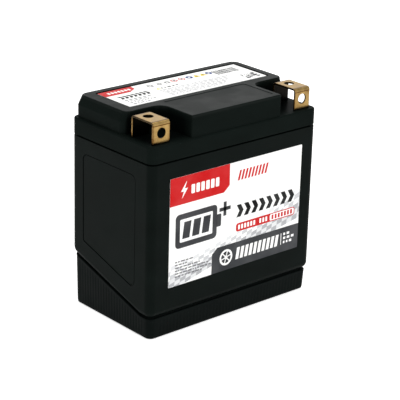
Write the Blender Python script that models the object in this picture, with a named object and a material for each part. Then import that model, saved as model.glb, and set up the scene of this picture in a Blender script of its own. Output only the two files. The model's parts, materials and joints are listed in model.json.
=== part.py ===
"""Sodium-ion motorcycle battery on a loose wedge-shaped height spacer.

Every sub-part is one object. Sizes are in millimetres here and are scaled to metres on the way
into Blender. +Z is up, the front (label) face looks along -Y, and the origin is the middle of the
footprint, on the surface that the battery stands on.
"""

import math

import bmesh
import bpy
from mathutils import Vector

MM = 0.001

# Case and spacer: driving dimensions
LENGTH = 150.0  # along X
WIDTH = 87.0  # along Y
HEIGHT = 153.0
CORNER_R = 5.6
WALL = 2.2
FLOOR = 3.5
GAP = 0.3  # between pieces that touch
BEND_Y = -32.0  # the seam is level in front of this line and slopes up behind it
SEAM_FRONT = 16.0  # height of the spacer at the front
SEAM_SLOPE = 0.30
CASE_TOP = 125.0
LID_BOTTOM = 125.4
BOTTOM_ROUND = 4.5  # rounding of the case's bottom edge
SPACER_INSET = 1.3
SPACER_DRAFT = 0.7
SPACER_WALL = 3.0
SPACER_RIB = 2.2
SPACER_COLUMNS = 4
KEY_HALF_X = 55.0  # raised key on the spacer's deck, in a pocket under the case
KEY_Y = (-24.0, 33.0)
KEY_HEIGHT = 1.5
RIM_BEVEL = 0.4  # bevels on both sides of the joint between case and lid
PANEL_Y = (-27.0, 29.6)  # shallow panel in each end wall of the case
PANEL_Z = (35.0, 114.2)
PANEL_R = 4.5
PANEL_LOW_R = 2.0  # the corner where the sloping edge meets the back edge
PANEL_DEPTH = 0.35

# Lid
LEDGE = 137.5  # floor of the terminal pockets and the step round the upper box
BOX_HALF_X = 72.6
BOX_BACK = 42.2
CHAMFER_FROM = 146.0  # the end and back walls lean in above this height
CHAMFER_IN = 2.1
POCKET_BACK = -11.0
BLOCK_HALF_X = 40.2
BLOCK_FRONT = -42.2
POCKET_R = 8.0
LID_WALL = 2.4
LIP_BOTTOM = 121.5
LIP_THICK = 1.9
SKIRT_ROUND = 1.2  # rounding between the skirt and the ledge
TOP_EDGE = 0.7  # rounding round the lid's top
BLOCK_PANEL_HALF = (36.5, 15.4)  # faint panel in the block's top
BLOCK_PANEL_Y = -23.2
BLOCK_PANEL_DEPTH = 0.25

# Labels, and the shallow recesses that hold them
FRONT_LABEL_X = (-58.8, 61.2)
FRONT_LABEL_Z = (35.4, 113.0)
TOP_LABEL_X = (-60.2, 63.8)
TOP_LABEL_Y = (-2.0, 33.4)
LABEL_THICK = 0.3
LABEL_RECESS = 0.6
LABEL_MARGIN = 0.15
TOP_LABEL_MARGIN = 1.4

# Terminals: strip bent to an upside-down U, with a foot under the pocket's floor
TERMINAL_X = 63.4
TERMINAL_WIDTH = 14.2
STRIP = 1.3
TERMINAL_FRONT = -39.0
TERMINAL_BACK = -16.6
TERMINAL_TOP = 152.7
BEND_R = 2.2  # outer radius
SHANK_SETBACK = 0.15  # the front leg is coined a little thinner where it passes through the lid
HOLE_R = 3.5
FRONT_HOLE_Z = 144.9
TOP_HOLE_Y = -25.2
FOOT_TOP = 130.0
FOOT_END = -22.0
FOOT_HOLE_Y = -29.0
LUG_THICK = 1.2
LUG_HOLE_R = 2.9
BARREL_R = 3.1

# Cell pack
CELL_R = 12.9
CELL_HEIGHT = 70.0
CELL_SIDES = 16
CELL_HOLE_R = 13.15
CELL_COLUMNS = (-41.25, -13.75, 13.75, 41.25)
CELL_ROWS = (-26.9, 0.0, 26.9)
CELL_BOTTOM = 45.3
HOLDER_HALF_X = 55.6
HOLDER_HALF_Y = 40.8
HOLDER_HEIGHT = 6.0
PLATE = 0.4
PLATE_HALF_Y = 38.0
WIRE_GAP_X = 27.5  # the wires to the lower plates pass between the cells here
WIRE_GAP_Y = 13.45
WIRE_LANES = (27.0, 19.0, 24.3, 16.4, 21.6)  # where each balance wire runs, along Y
BALANCE_WIRE = 1.3  # diameter
BALANCE_WIRE_STEP = 3.25  # spacing of the points along it
LEAD = 4.2
LEAD_STEP = 5.46
INSULATION = 0.5
TAB_X = 54.4  # the upstands where the heavy leads join
TAB_Y = (-6.0, 18.0)
TAB_HEIGHT = 8.0
SLIT_HALF = (7.0, 0.8)  # slits between the rows in each plate

# Protection board
BOARD_X = (-46.0, 52.0)
BOARD_Y = (-14.0, 31.0)
BOARD_BOTTOM = 120.0
BOARD_THICK = 1.6
MOSFET_X = (-19.5, -6.5, 6.5, 19.5)
MOSFET_Y = 12.0

COLOURS = {  # base colour, roughness, metallic
    "case_plastic": ((0.012, 0.014, 0.013), 0.42, 0.0),
    "lid_plastic": ((0.014, 0.016, 0.015), 0.40, 0.0),
    "spacer_plastic": ((0.010, 0.011, 0.011), 0.50, 0.0),
    "brass": ((0.62, 0.42, 0.18), 0.32, 1.0),
    "label_print": ((0.86, 0.86, 0.85), 0.35, 0.0),
    "cell_sleeve": ((0.05, 0.22, 0.42), 0.45, 0.0),
    "holder_plastic": ((0.75, 0.75, 0.72), 0.55, 0.0),
    "nickel": ((0.62, 0.60, 0.56), 0.30, 1.0),
    "insulating_paper": ((0.35, 0.42, 0.36), 0.80, 0.0),
    "foam": ((0.06, 0.06, 0.065), 0.95, 0.0),
    "board_laminate": ((0.02, 0.16, 0.07), 0.45, 0.0),
    "component_plastic": ((0.02, 0.02, 0.022), 0.50, 0.0),
    "aluminium": ((0.72, 0.73, 0.74), 0.35, 1.0),
    "connector_plastic": ((0.85, 0.83, 0.78), 0.50, 0.0),
    "steel": ((0.55, 0.55, 0.56), 0.30, 1.0),
    "copper": ((0.80, 0.42, 0.28), 0.30, 1.0),
    "red_insulation": ((0.60, 0.03, 0.03), 0.55, 0.0),
    "black_insulation": ((0.015, 0.015, 0.017), 0.55, 0.0),
}


# Scene helpers


def clear_scene():
    for old in list(bpy.data.objects):
        bpy.data.objects.remove(old, do_unlink=True)


def material(name):
    found = bpy.data.materials.get(name)
    if found:
        return found
    made = bpy.data.materials.new(name)
    made.use_nodes = True
    colour, roughness, metallic = COLOURS[name]
    shader = made.node_tree.nodes["Principled BSDF"]
    shader.inputs["Base Color"].default_value = (*colour, 1.0)
    shader.inputs["Roughness"].default_value = roughness
    shader.inputs["Metallic"].default_value = metallic
    made.diffuse_color = (*colour, 1.0)
    return made


def add_object(name, data, look):
    thing = bpy.data.objects.new(name, data)
    data.materials.append(material(look))
    bpy.context.collection.objects.link(thing)
    return thing


def mesh_object(name, points, faces, look, smooth_angle=None):
    mesh = bpy.data.meshes.new(name)
    mesh.from_pydata([Vector(p) * MM for p in points], [], faces)
    tidy = bmesh.new()
    tidy.from_mesh(mesh)
    bmesh.ops.recalc_face_normals(tidy, faces=tidy.faces)
    tidy.to_mesh(mesh)
    tidy.free()
    thing = add_object(name, mesh, look)
    if smooth_angle is not None:
        mesh.shade_smooth()
        mesh.set_sharp_from_angle(angle=math.radians(smooth_angle))
    return thing


def boolean(target, cutter, operation="DIFFERENCE"):
    """Leaves the modifier on the target and turns its second object into a hidden guide."""
    step = target.modifiers.new(cutter.name, "BOOLEAN")
    step.operation = operation
    step.solver = "EXACT"
    step.object = cutter
    cutter.hide_render = True
    cutter.display_type = "WIRE"


# Outlines and solids


def arc(centre, radius, start, end, segments):
    """Points of an arc in the XY plane, from start to end in degrees."""
    turn = [math.radians(start + (end - start) * i / segments) for i in range(segments + 1)]
    return [(centre[0] + radius * math.cos(a), centre[1] + radius * math.sin(a)) for a in turn]


def rounded_rectangle(half_x, half_y, radius, segments=6, centre=(0.0, 0.0)):
    corners = []
    for sign_x, sign_y, start in ((1, 1, 0), (-1, 1, 90), (-1, -1, 180), (1, -1, 270)):
        middle = (centre[0] + sign_x * (half_x - radius), centre[1] + sign_y * (half_y - radius))
        corners += arc(middle, radius, start, start + 90, segments)
    return corners


def prism(name, outline, low, high, look, smooth_angle=None):
    """An outline in XY made solid between two heights."""
    count = len(outline)
    points = [(x, y, low) for x, y in outline] + [(x, y, high) for x, y in outline]
    faces = [list(range(count))[::-1], list(range(count, 2 * count))]
    faces += [[i, (i + 1) % count, count + (i + 1) % count, count + i] for i in range(count)]
    return mesh_object(name, points, faces, look, smooth_angle)


def profile_bar(name, profile, x_low, x_high, look, smooth_angle=None):
    """A side profile in YZ made solid along X."""
    count = len(profile)
    points = [(x_low, y, z) for y, z in profile] + [(x_high, y, z) for y, z in profile]
    faces = [list(range(count)), list(range(count, 2 * count))[::-1]]
    faces += [[i, count + i, count + (i + 1) % count, (i + 1) % count] for i in range(count)]
    return mesh_object(name, points, faces, look, smooth_angle)


def box(name, x, y, z, look):
    return prism(name, [(x[0], y[0]), (x[1], y[0]), (x[1], y[1]), (x[0], y[1])], z[0], z[1], look)


def lofted(name, rings, look, caps, smooth_angle=35.0):
    """Skins rings that hold the same number of points; caps gives the closing polygons."""
    count = len(rings[0])
    points = [point for ring in rings for point in ring]
    faces = []
    for step in range(len(rings) - 1):
        low = step * count
        high = low + count
        for i in range(count):
            j = (i + 1) % count
            faces.append([low + i, low + j, high + j, high + i])
    last = (len(rings) - 1) * count
    for polygon in caps:
        faces.append(polygon[::-1])
        faces.append([last + i for i in polygon])
    return mesh_object(name, points, faces, look, smooth_angle)


def turned(name, profile, centre, look, segments=20, smooth_angle=40.0):
    """A solid of revolution about a vertical axis; the profile runs from the axis to the axis."""
    radii = [(r, z) for r, z in profile if r > 0]
    points = []
    for r, z in radii:
        for i in range(segments):
            a = 2 * math.pi * i / segments
            points.append((centre[0] + r * math.cos(a), centre[1] + r * math.sin(a), z))
    faces = [list(range(segments))[::-1]]
    for step in range(len(radii) - 1):
        low = step * segments
        for i in range(segments):
            j = (i + 1) % segments
            faces.append([low + i, low + j, low + segments + j, low + segments + i])
    last = (len(radii) - 1) * segments
    faces.append([last + i for i in range(segments)])
    return mesh_object(name, points, faces, look, smooth_angle)


def cylinders(name, places, radius, low, high, look="steel", segments=20):
    """Separate upright cylinders in one mesh, used as a cutter."""
    points = []
    faces = []
    for x, y in places:
        first = len(points)
        ring = arc((x, y), radius, 0, 360, segments)[:-1]
        points += [(px, py, low) for px, py in ring] + [(px, py, high) for px, py in ring]
        faces.append([first + i for i in range(segments)][::-1])
        faces.append([first + segments + i for i in range(segments)])
        for i in range(segments):
            j = (i + 1) % segments
            faces.append([first + i, first + j, first + segments + j, first + segments + i])
    return mesh_object(name, points, faces, look)


def smooth_route(route, spacing):
    """Points at an even spacing on a smooth curve through the route's own points."""
    ends = [Vector(p) for p in (route[0], *route, route[-1])]
    dense = []
    for a, b, c, d in zip(ends, ends[1:], ends[2:], ends[3:]):
        for i in range(24):
            t = i / 24
            square = (2 * a - 5 * b + 4 * c - d) * t**2
            cube = (3 * b - a - 3 * c + d) * t**3
            dense.append(0.5 * (2 * b + (c - a) * t + square + cube))
    dense.append(Vector(route[-1]))
    lengths = [0.0]
    for a, b in zip(dense, dense[1:]):
        lengths.append(lengths[-1] + (b - a).length)
    steps = max(4, round(lengths[-1] / spacing))
    points = []
    at = 0
    for i in range(steps + 1):
        target = lengths[-1] * i / steps
        while at < len(lengths) - 2 and lengths[at + 1] < target:
            at += 1
        share = (target - lengths[at]) / max(lengths[at + 1] - lengths[at], 1e-9)
        points.append(dense[at].lerp(dense[at + 1], share))
    return points


def wire(name, route, diameter, spacing, look):
    curve = bpy.data.curves.new(name, "CURVE")
    curve.dimensions = "3D"
    curve.bevel_depth = diameter / 2 * MM
    curve.bevel_resolution = 2
    curve.use_fill_caps = True
    points = smooth_route(route, spacing)
    line = curve.splines.new("POLY")
    line.points.add(len(points) - 1)
    for target, point in zip(line.points, points):
        target.co = (*(point * MM), 1.0)
    return add_object(name, curve, look)


# Seam between the spacer and the case


def seam_height(y):
    """Top of the spacer: level at the front, rising towards the back."""
    return SEAM_FRONT + SEAM_SLOPE * max(0.0, y - BEND_Y)


def above_seam(offset):
    """A height that follows the seam at an offset."""
    return lambda y: seam_height(y) + offset


def level(z):
    """The same height everywhere."""
    return lambda y: z


def seam_ring(half_x, half_y, radius, height, segments=6):
    """A rounded rectangle whose points lie at height(y), with a point on the bend line each side."""
    right_back = arc((half_x - radius, half_y - radius), radius, 0, 90, segments)
    left_back = arc((-half_x + radius, half_y - radius), radius, 90, 180, segments)
    left_front = arc((-half_x + radius, -half_y + radius), radius, 180, 270, segments)
    right_front = arc((half_x - radius, -half_y + radius), radius, 270, 360, segments)
    outline = [(half_x, BEND_Y)] + right_back + left_back + [(-half_x, BEND_Y)] + left_front + right_front
    return [(x, y, height(y)) for x, y in outline]


def seam_caps(ring_length, segments=6):
    """The closing polygons of a seam ring: one behind the bend line and one in front of it."""
    bend_left = 1 + 2 * (segments + 1)
    return [list(range(0, bend_left + 1)), list(range(bend_left, ring_length)) + [0]]


def sloped_slab(name, half_x, y, offset_low, offset_high, look):
    """A slab that follows the seam between two offsets from it."""
    profile = [(y[0], seam_height(y[0]) + offset_low), (y[1], seam_height(y[1]) + offset_low)]
    profile += [(y[1], seam_height(y[1]) + offset_high), (y[0], seam_height(y[0]) + offset_high)]
    return profile_bar(name, profile, -half_x, half_x, look)


# Spacer


def spacer_pockets():
    """The open hollows under the deck, which leave the walls and the ribs between them."""
    inner_x = LENGTH / 2 - SPACER_INSET - SPACER_DRAFT - SPACER_WALL
    inner_y = WIDTH / 2 - SPACER_INSET - SPACER_DRAFT - SPACER_WALL
    rows = [(-inner_y, -SPACER_RIB / 2), (SPACER_RIB / 2, inner_y)]
    pitch = (2 * inner_x + SPACER_RIB) / SPACER_COLUMNS
    points = []
    faces = []
    for y_low, y_high in rows:
        profile = [(y_low, -1.0), (y_high, -1.0), (y_high, seam_height(y_high) - SPACER_WALL)]
        if y_low < BEND_Y:
            profile.append((BEND_Y, SEAM_FRONT - SPACER_WALL))
        profile.append((y_low, seam_height(y_low) - SPACER_WALL))
        for column in range(SPACER_COLUMNS):
            x_low = -inner_x + column * pitch
            first = len(points)
            count = len(profile)
            points += [(x_low, py, pz) for py, pz in profile]
            points += [(x_low + pitch - SPACER_RIB, py, pz) for py, pz in profile]
            faces.append([first + i for i in range(count)])
            faces.append([first + count + i for i in range(count)][::-1])
            for i in range(count):
                j = (i + 1) % count
                faces.append([first + i, first + count + i, first + count + j, first + j])
    return mesh_object("spacer_pocket_cutter", points, faces, "spacer_plastic")


def base_spacer():
    half_x = LENGTH / 2 - SPACER_INSET
    half_y = WIDTH / 2 - SPACER_INSET
    radius = CORNER_R - 0.9
    foot_round = 1.0
    edge_round = 0.8
    foot = (half_x - SPACER_DRAFT, half_y - SPACER_DRAFT)
    share = 0.3  # how far in and up the middle of each rounded edge lies
    foot_mid = share * foot_round
    edge_mid = share * edge_round
    rings = [
        seam_ring(foot[0] - foot_round, foot[1] - foot_round, radius - foot_round, level(0.0)),
        seam_ring(foot[0] - foot_mid, foot[1] - foot_mid, radius - foot_mid, level(foot_mid)),
        seam_ring(foot[0], foot[1], radius, level(foot_round)),
        seam_ring(half_x, half_y, radius, above_seam(-edge_round)),
        seam_ring(half_x - edge_mid, half_y - edge_mid, radius - edge_mid, above_seam(-edge_mid)),
        seam_ring(half_x - edge_round, half_y - edge_round, radius - edge_round, above_seam(0.0)),
    ]
    body = lofted("base_spacer", rings, "spacer_plastic", seam_caps(len(rings[0])))
    key = sloped_slab("spacer_key", KEY_HALF_X, KEY_Y, -1.0, KEY_HEIGHT, "spacer_plastic")
    boolean(body, key, "UNION")
    boolean(body, spacer_pockets())


# Case


def end_panel_outline():
    """The shallow panel on each end wall: a rectangle with a sloping bottom edge, in YZ."""
    front, back = PANEL_Y
    low, top = PANEL_Z
    low_back = low + SEAM_SLOPE * (back - front - PANEL_R)
    steepness = math.degrees(math.atan(SEAM_SLOPE))
    outline = arc((front + PANEL_R, low + PANEL_R), PANEL_R, 180, 270, 5)
    outline += arc((back - PANEL_LOW_R, low_back + PANEL_LOW_R * 0.7), PANEL_LOW_R, steepness - 90, 0, 3)
    outline += arc((back - PANEL_R, top - PANEL_R), PANEL_R, 0, 90, 5)
    outline += arc((front + PANEL_R, top - PANEL_R), PANEL_R, 90, 180, 5)
    return outline


def case():
    half_x = LENGTH / 2
    half_y = WIDTH / 2
    rings = []
    steps = 5
    for i in range(steps + 1):
        a = math.radians(90 * i / steps)
        inset = BOTTOM_ROUND * (1 - math.sin(a))
        rise = GAP + BOTTOM_ROUND * (1 - math.cos(a))
        rings.append(seam_ring(half_x - inset, half_y - inset, CORNER_R - inset, above_seam(rise)))
    rings.append(seam_ring(half_x, half_y, CORNER_R, level(CASE_TOP - RIM_BEVEL)))
    rings.append(seam_ring(half_x - RIM_BEVEL, half_y - RIM_BEVEL, CORNER_R - RIM_BEVEL, level(CASE_TOP)))
    inner = (half_x - WALL, half_y - WALL, CORNER_R - WALL)
    rings.append(seam_ring(*inner, level(CASE_TOP)))
    rings.append(seam_ring(*inner, above_seam(GAP + FLOOR)))
    body = lofted("case", rings, "case_plastic", seam_caps(len(rings[0])))

    pocket_y = (KEY_Y[0] - GAP, KEY_Y[1] + GAP)
    pocket_top = KEY_HEIGHT + 2 * GAP
    pocket_half_x = KEY_HALF_X + GAP
    pocket = sloped_slab("case_key_pocket_cutter", pocket_half_x, pocket_y, -1.0, pocket_top, "case_plastic")
    boolean(body, pocket)
    outline = end_panel_outline()
    for side, sign in (("left", -1), ("right", 1)):
        outer = sign * (half_x + 1.0)
        inner_face = sign * (half_x - PANEL_DEPTH)
        cutter = profile_bar(f"case_{side}_panel_cutter", outline, min(outer, inner_face),
                             max(outer, inner_face), "case_plastic")
        boolean(body, cutter)
    recess_x = (FRONT_LABEL_X[0] - LABEL_MARGIN, FRONT_LABEL_X[1] + LABEL_MARGIN)
    recess_z = (FRONT_LABEL_Z[0] - LABEL_MARGIN, FRONT_LABEL_Z[1] + LABEL_MARGIN)
    recess_y = (-half_y - 1.0, -half_y + LABEL_RECESS)
    boolean(body, box("case_label_cutter", recess_x, recess_y, recess_z, "case_plastic"))


# Lid


def upper_box_outline(shrink, wall_in):
    """The upper box seen from above: a bar across the back with the block in front of it.

    shrink moves every wall inwards, and wall_in moves only the two ends and the back.
    """
    end = BOX_HALF_X - shrink - wall_in
    back = BOX_BACK - shrink - wall_in
    front = BLOCK_FRONT + shrink
    block = BLOCK_HALF_X - shrink
    pocket = POCKET_BACK + shrink
    concave = POCKET_R + shrink
    convex = 4.5 - min(shrink, 2.0)
    edge = max(0.9 - shrink, 0.3)
    right = arc((block - edge, front + edge), edge, 270, 360, 2)
    right += arc((block + concave, pocket - concave), concave, 180, 90, 7)
    right += arc((end - convex, pocket + convex), convex, 270, 360, 5)
    right += arc((end - 5.5, back - 5.5), 5.5, 0, 90, 6)
    left = [(-x, y) for x, y in reversed(right)]
    return right + left


def box_ring(shrink, wall_in, z):
    return [(x, y, z) for x, y in upper_box_outline(shrink, wall_in)]


def whole_cap(count):
    return [list(range(count))]


def flat_ring(half_x, half_y, radius, z, segments=6):
    return [(x, y, z) for x, y in rounded_rectangle(half_x, half_y, radius, segments)]


def skirt_ring(inset, z):
    """The lid's outline at an inset from the battery's footprint."""
    return flat_ring(LENGTH / 2 - inset, WIDTH / 2 - inset, CORNER_R - inset, z)


def lid():
    half_x = LENGTH / 2
    half_y = WIDTH / 2
    lip = WALL + GAP
    rings = [
        skirt_ring(lip, LIP_BOTTOM),
        skirt_ring(lip, LID_BOTTOM),
        skirt_ring(RIM_BEVEL, LID_BOTTOM),
        skirt_ring(0.0, LID_BOTTOM + RIM_BEVEL),
        skirt_ring(0.0, LEDGE - SKIRT_ROUND),
        skirt_ring(0.3 * SKIRT_ROUND, LEDGE - 0.3 * SKIRT_ROUND),
        skirt_ring(SKIRT_ROUND, LEDGE),
    ]
    body = lofted("lid", rings, "lid_plastic", whole_cap(len(rings[0])))

    upper = [
        box_ring(0.0, 0.0, LEDGE - 1.0),
        box_ring(0.0, 0.0, CHAMFER_FROM),
        box_ring(0.0, CHAMFER_IN, HEIGHT - TOP_EDGE),
        box_ring(0.3 * TOP_EDGE, CHAMFER_IN, HEIGHT - 0.3 * TOP_EDGE),
        box_ring(TOP_EDGE, CHAMFER_IN, HEIGHT),
    ]
    boolean(body, lofted("lid_upper_box", upper, "lid_plastic", whole_cap(len(upper[0]))), "UNION")

    lip_inner = lip + LIP_THICK
    cavity = [
        flat_ring(half_x - lip_inner, half_y - lip_inner, 2.0, LIP_BOTTOM - 1.0),
        flat_ring(half_x - lip_inner, half_y - lip_inner, 2.0, LID_BOTTOM + 1.2),
        flat_ring(half_x - LID_WALL, half_y - LID_WALL, 2.6, LID_BOTTOM + 1.8),
        flat_ring(half_x - LID_WALL, half_y - LID_WALL, 2.6, LEDGE - LID_WALL),
    ]
    boolean(body, lofted("lid_cavity_cutter", cavity, "lid_plastic", whole_cap(len(cavity[0]))))
    upper_cavity = [
        box_ring(LID_WALL, 0.0, LEDGE - LID_WALL - 1.0),
        box_ring(LID_WALL, 0.0, CHAMFER_FROM - 1.0),
        box_ring(LID_WALL, CHAMFER_IN, HEIGHT - LID_WALL - 0.6),
    ]
    cutter = lofted("lid_upper_cavity_cutter", upper_cavity, "lid_plastic", whole_cap(len(upper_cavity[0])))
    boolean(body, cutter)

    centre = ((TOP_LABEL_X[0] + TOP_LABEL_X[1]) / 2, (TOP_LABEL_Y[0] + TOP_LABEL_Y[1]) / 2)
    label_half = ((TOP_LABEL_X[1] - TOP_LABEL_X[0]) / 2, (TOP_LABEL_Y[1] - TOP_LABEL_Y[0]) / 2)
    recess_half = (label_half[0] + TOP_LABEL_MARGIN, label_half[1] + TOP_LABEL_MARGIN)
    recess = rounded_rectangle(*recess_half, 1.5, 3, centre)
    over = HEIGHT + 1.0
    boolean(body, prism("lid_label_cutter", recess, HEIGHT - LABEL_RECESS, over, "lid_plastic"))
    panel = rounded_rectangle(*BLOCK_PANEL_HALF, 2.0, 3, (0.0, BLOCK_PANEL_Y))
    boolean(body, prism("lid_block_panel_cutter", panel, HEIGHT - BLOCK_PANEL_DEPTH, over, "lid_plastic"))
    for side, sign in (("positive", -1), ("negative", 1)):
        slot_half = TERMINAL_WIDTH / 2 + GAP
        x = (sign * TERMINAL_X - slot_half, sign * TERMINAL_X + slot_half)
        z = (LEDGE - 6.0, LEDGE + 1.0)
        for leg, y in (("front", TERMINAL_FRONT), ("back", TERMINAL_BACK - STRIP)):
            slot_y = (y - GAP, y + STRIP + GAP)
            boolean(body, box(f"lid_{side}_{leg}_slot_cutter", x, slot_y, z, "lid_plastic"))


# Terminals


def terminal_profile():
    """The strip's outline in YZ: foot, front leg, top and back leg, with rounded bends."""
    front, back, top = TERMINAL_FRONT, TERMINAL_BACK, TERMINAL_TOP
    inner = BEND_R - STRIP
    foot_low = FOOT_TOP - STRIP
    shank = front + SHANK_SETBACK
    outer = [(max(y, shank), z) for y, z in arc((front + BEND_R, foot_low + BEND_R), BEND_R, 270, 180, 5)]
    outer += [(shank, LEDGE + GAP), (front, LEDGE + GAP)]
    outer += arc((front + BEND_R, top - BEND_R), BEND_R, 180, 90, 5)
    outer += arc((back - BEND_R, top - BEND_R), BEND_R, 90, 0, 5)
    leg_end = LEDGE - LID_WALL - 2.0
    outer += [(back, leg_end), (back - STRIP, leg_end)]
    inside = arc((back - BEND_R, top - BEND_R), inner, 0, 90, 3)
    inside += arc((front + BEND_R, top - BEND_R), inner, 90, 180, 3)
    inside += arc((front + BEND_R, foot_low + BEND_R), inner, 180, 270, 3)
    return [(FOOT_END, foot_low)] + outer + inside + [(FOOT_END, FOOT_TOP)]


def lengthwise_cylinder(name, centre, radius, half_length, look, segments=20):
    """A cylinder along Y."""
    made = cylinders(name, [(0.0, 0.0)], radius, -half_length, half_length, look, segments)
    made.rotation_euler = (math.radians(90), 0.0, 0.0)
    made.location = Vector(centre) * MM
    return made


def terminal(name, sign):
    middle = sign * TERMINAL_X
    side = TERMINAL_WIDTH / 2
    body = profile_bar(name, terminal_profile(), middle - side, middle + side, "brass", smooth_angle=30.0)
    top_hole = [(middle, TOP_HOLE_Y)]
    top_z = (TERMINAL_TOP - 5.0, TERMINAL_TOP + 2.0)
    boolean(body, cylinders(f"{name}_top_hole_cutter", top_hole, HOLE_R, *top_z, segments=28))
    front_hole = (middle, TERMINAL_FRONT, FRONT_HOLE_Z)
    boolean(body, lengthwise_cylinder(f"{name}_front_hole_cutter", front_hole, HOLE_R, 4.0, "brass", 28))
    foot_hole = [(middle, FOOT_HOLE_Y)]
    foot_z = (FOOT_TOP - 4.0, FOOT_TOP + 2.0)
    boolean(body, cylinders(f"{name}_foot_hole_cutter", foot_hole, LUG_HOLE_R, *foot_z))


def lug(name, sign):
    """Ring lug under the terminal's foot: flat ring and tongue, with the crimp barrel behind."""
    middle = sign * TERMINAL_X
    top = FOOT_TOP - STRIP - GAP
    low = top - LUG_THICK
    barrel_z = top - BARREL_R
    outline = arc((middle, FOOT_HOLE_Y), 5.2, 130, 410, 14)
    outline += [(middle + 2.6, -17.0), (middle - 2.6, -17.0)]
    body = prism(name, outline, low, top, "copper", smooth_angle=30.0)
    barrel = lengthwise_cylinder(f"{name}_barrel", (middle, -15.0, barrel_z), BARREL_R, 4.0, "copper")
    boolean(body, barrel, "UNION")
    bore = lengthwise_cylinder(f"{name}_barrel_bore_cutter", (middle, -13.2, barrel_z), 2.4, 3.0, "copper")
    boolean(body, bore)
    ring_hole = [(middle, FOOT_HOLE_Y)]
    boolean(body, cylinders(f"{name}_ring_hole_cutter", ring_hole, LUG_HOLE_R, low - 1.0, top + 1.0))


def lug_screw(name, sign):
    head_low = FOOT_TOP + GAP
    end = head_low - 9.1
    centre = (sign * TERMINAL_X, FOOT_HOLE_Y)
    profile = [(2.4, end), (2.5, end + 0.2), (2.5, head_low)]
    profile += [(4.4, head_low), (4.4, head_low + 2.6), (3.6, head_low + 3.2)]
    body = turned(name, profile, centre, "steel")
    hexagon = arc(centre, 2.1, 0, 300, 5)
    boolean(body, prism(f"{name}_socket_cutter", hexagon, head_low + 1.2, head_low + 5.0, "steel"))


def lug_nut(name, sign):
    high = FOOT_TOP - STRIP - GAP - LUG_THICK - GAP
    centre = (sign * TERMINAL_X, FOOT_HOLE_Y)
    body = prism(name, arc(centre, 4.6, 0, 300, 5), high - 4.0, high, "steel")
    boolean(body, cylinders(f"{name}_thread_cutter", [centre], 2.8, high - 5.0, high + 1.0))


# Cell pack


def cell(name, x, y, plus_up):
    """A round cell with its raised positive cap at one end."""
    low, high = CELL_BOTTOM, CELL_BOTTOM + CELL_HEIGHT
    profile = [
        (CELL_R - 0.8, 0.0),
        (CELL_R, 0.8),
        (CELL_R, 64.2),
        (CELL_R - 0.7, 65.2),
        (CELL_R, 66.2),
        (CELL_R, 68.6),
        (CELL_R - 1.4, 69.0),
        (5.0, 69.0),
        (4.6, CELL_HEIGHT),
    ]
    if plus_up:
        turned_profile = [(r, low + z) for r, z in profile]
    else:
        turned_profile = [(r, high - z) for r, z in reversed(profile)]
    turned(name, turned_profile, (x, y), "cell_sleeve", segments=CELL_SIDES)


def cell_holder(name, low):
    outline = rounded_rectangle(HOLDER_HALF_X, HOLDER_HALF_Y, 3.0, 3)
    body = prism(name, outline, low, low + HOLDER_HEIGHT, "holder_plastic")
    through = (low - 1.0, low + HOLDER_HEIGHT + 1.0)
    places = [(x, y) for x in CELL_COLUMNS for y in CELL_ROWS]
    boolean(body, cylinders(f"{name}_cell_cutter", places, CELL_HOLE_R, *through, segments=CELL_SIDES))
    gaps = [(x, y) for x in (-WIRE_GAP_X, 0.0, WIRE_GAP_X) for y in (-WIRE_GAP_Y, WIRE_GAP_Y)]
    boolean(body, cylinders(f"{name}_wire_cutter", gaps, 2.6, *through, segments=12))


def bus_plate(name, x, z, tab_x=None):
    """A nickel plate over the cells' ends, slit between the rows, with an upstand where a lead joins."""
    middle = (x[0] + x[1]) / 2
    outline = rounded_rectangle((x[1] - x[0]) / 2, PLATE_HALF_Y, 2.0, 3, (middle, 0.0))
    body = prism(name, outline, z, z + PLATE, "nickel")
    if tab_x is not None:
        inward = -1.0 if tab_x > 0 else 1.0
        bridge_x = sorted((tab_x, tab_x + inward * 3.0))
        tab_sides = sorted((tab_x, tab_x + inward * PLATE))
        boolean(body, box(f"{name}_bridge", bridge_x, TAB_Y, (z, z + PLATE), "nickel"), "UNION")
        boolean(body, box(f"{name}_tab", tab_sides, TAB_Y, (z, z + TAB_HEIGHT), "nickel"), "UNION")
    slit_x = (middle - SLIT_HALF[0], middle + SLIT_HALF[0])
    for row, y in enumerate((-WIRE_GAP_Y, WIRE_GAP_Y)):
        slit_y = (y - SLIT_HALF[1], y + SLIT_HALF[1])
        boolean(body, box(f"{name}_slit_cutter_{row}", slit_x, slit_y, (z - 1.0, z + 1.0), "nickel"))


def insulator(name, z, holes):
    body = prism(name, rounded_rectangle(53.2, 39.0, 2.0, 2), z, z + INSULATION, "insulating_paper")
    if holes:
        boolean(body, cylinders(f"{name}_cutter", holes, 1.6, z - 1.0, z + INSULATION + 1.0, segments=10))


def support_wedge():
    """Foam block between the case's sloping floor and the pack."""
    rise = GAP + FLOOR + GAP
    top = 43.2
    y_low, y_high = -39.5, 38.6
    profile = [(y_low, SEAM_FRONT + rise), (BEND_Y, SEAM_FRONT + rise), (y_high, seam_height(y_high) + rise)]
    profile += [(y_high, top), (y_low, top)]
    profile_bar("support_wedge", profile, -70.0, 70.0, "foam")


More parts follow.
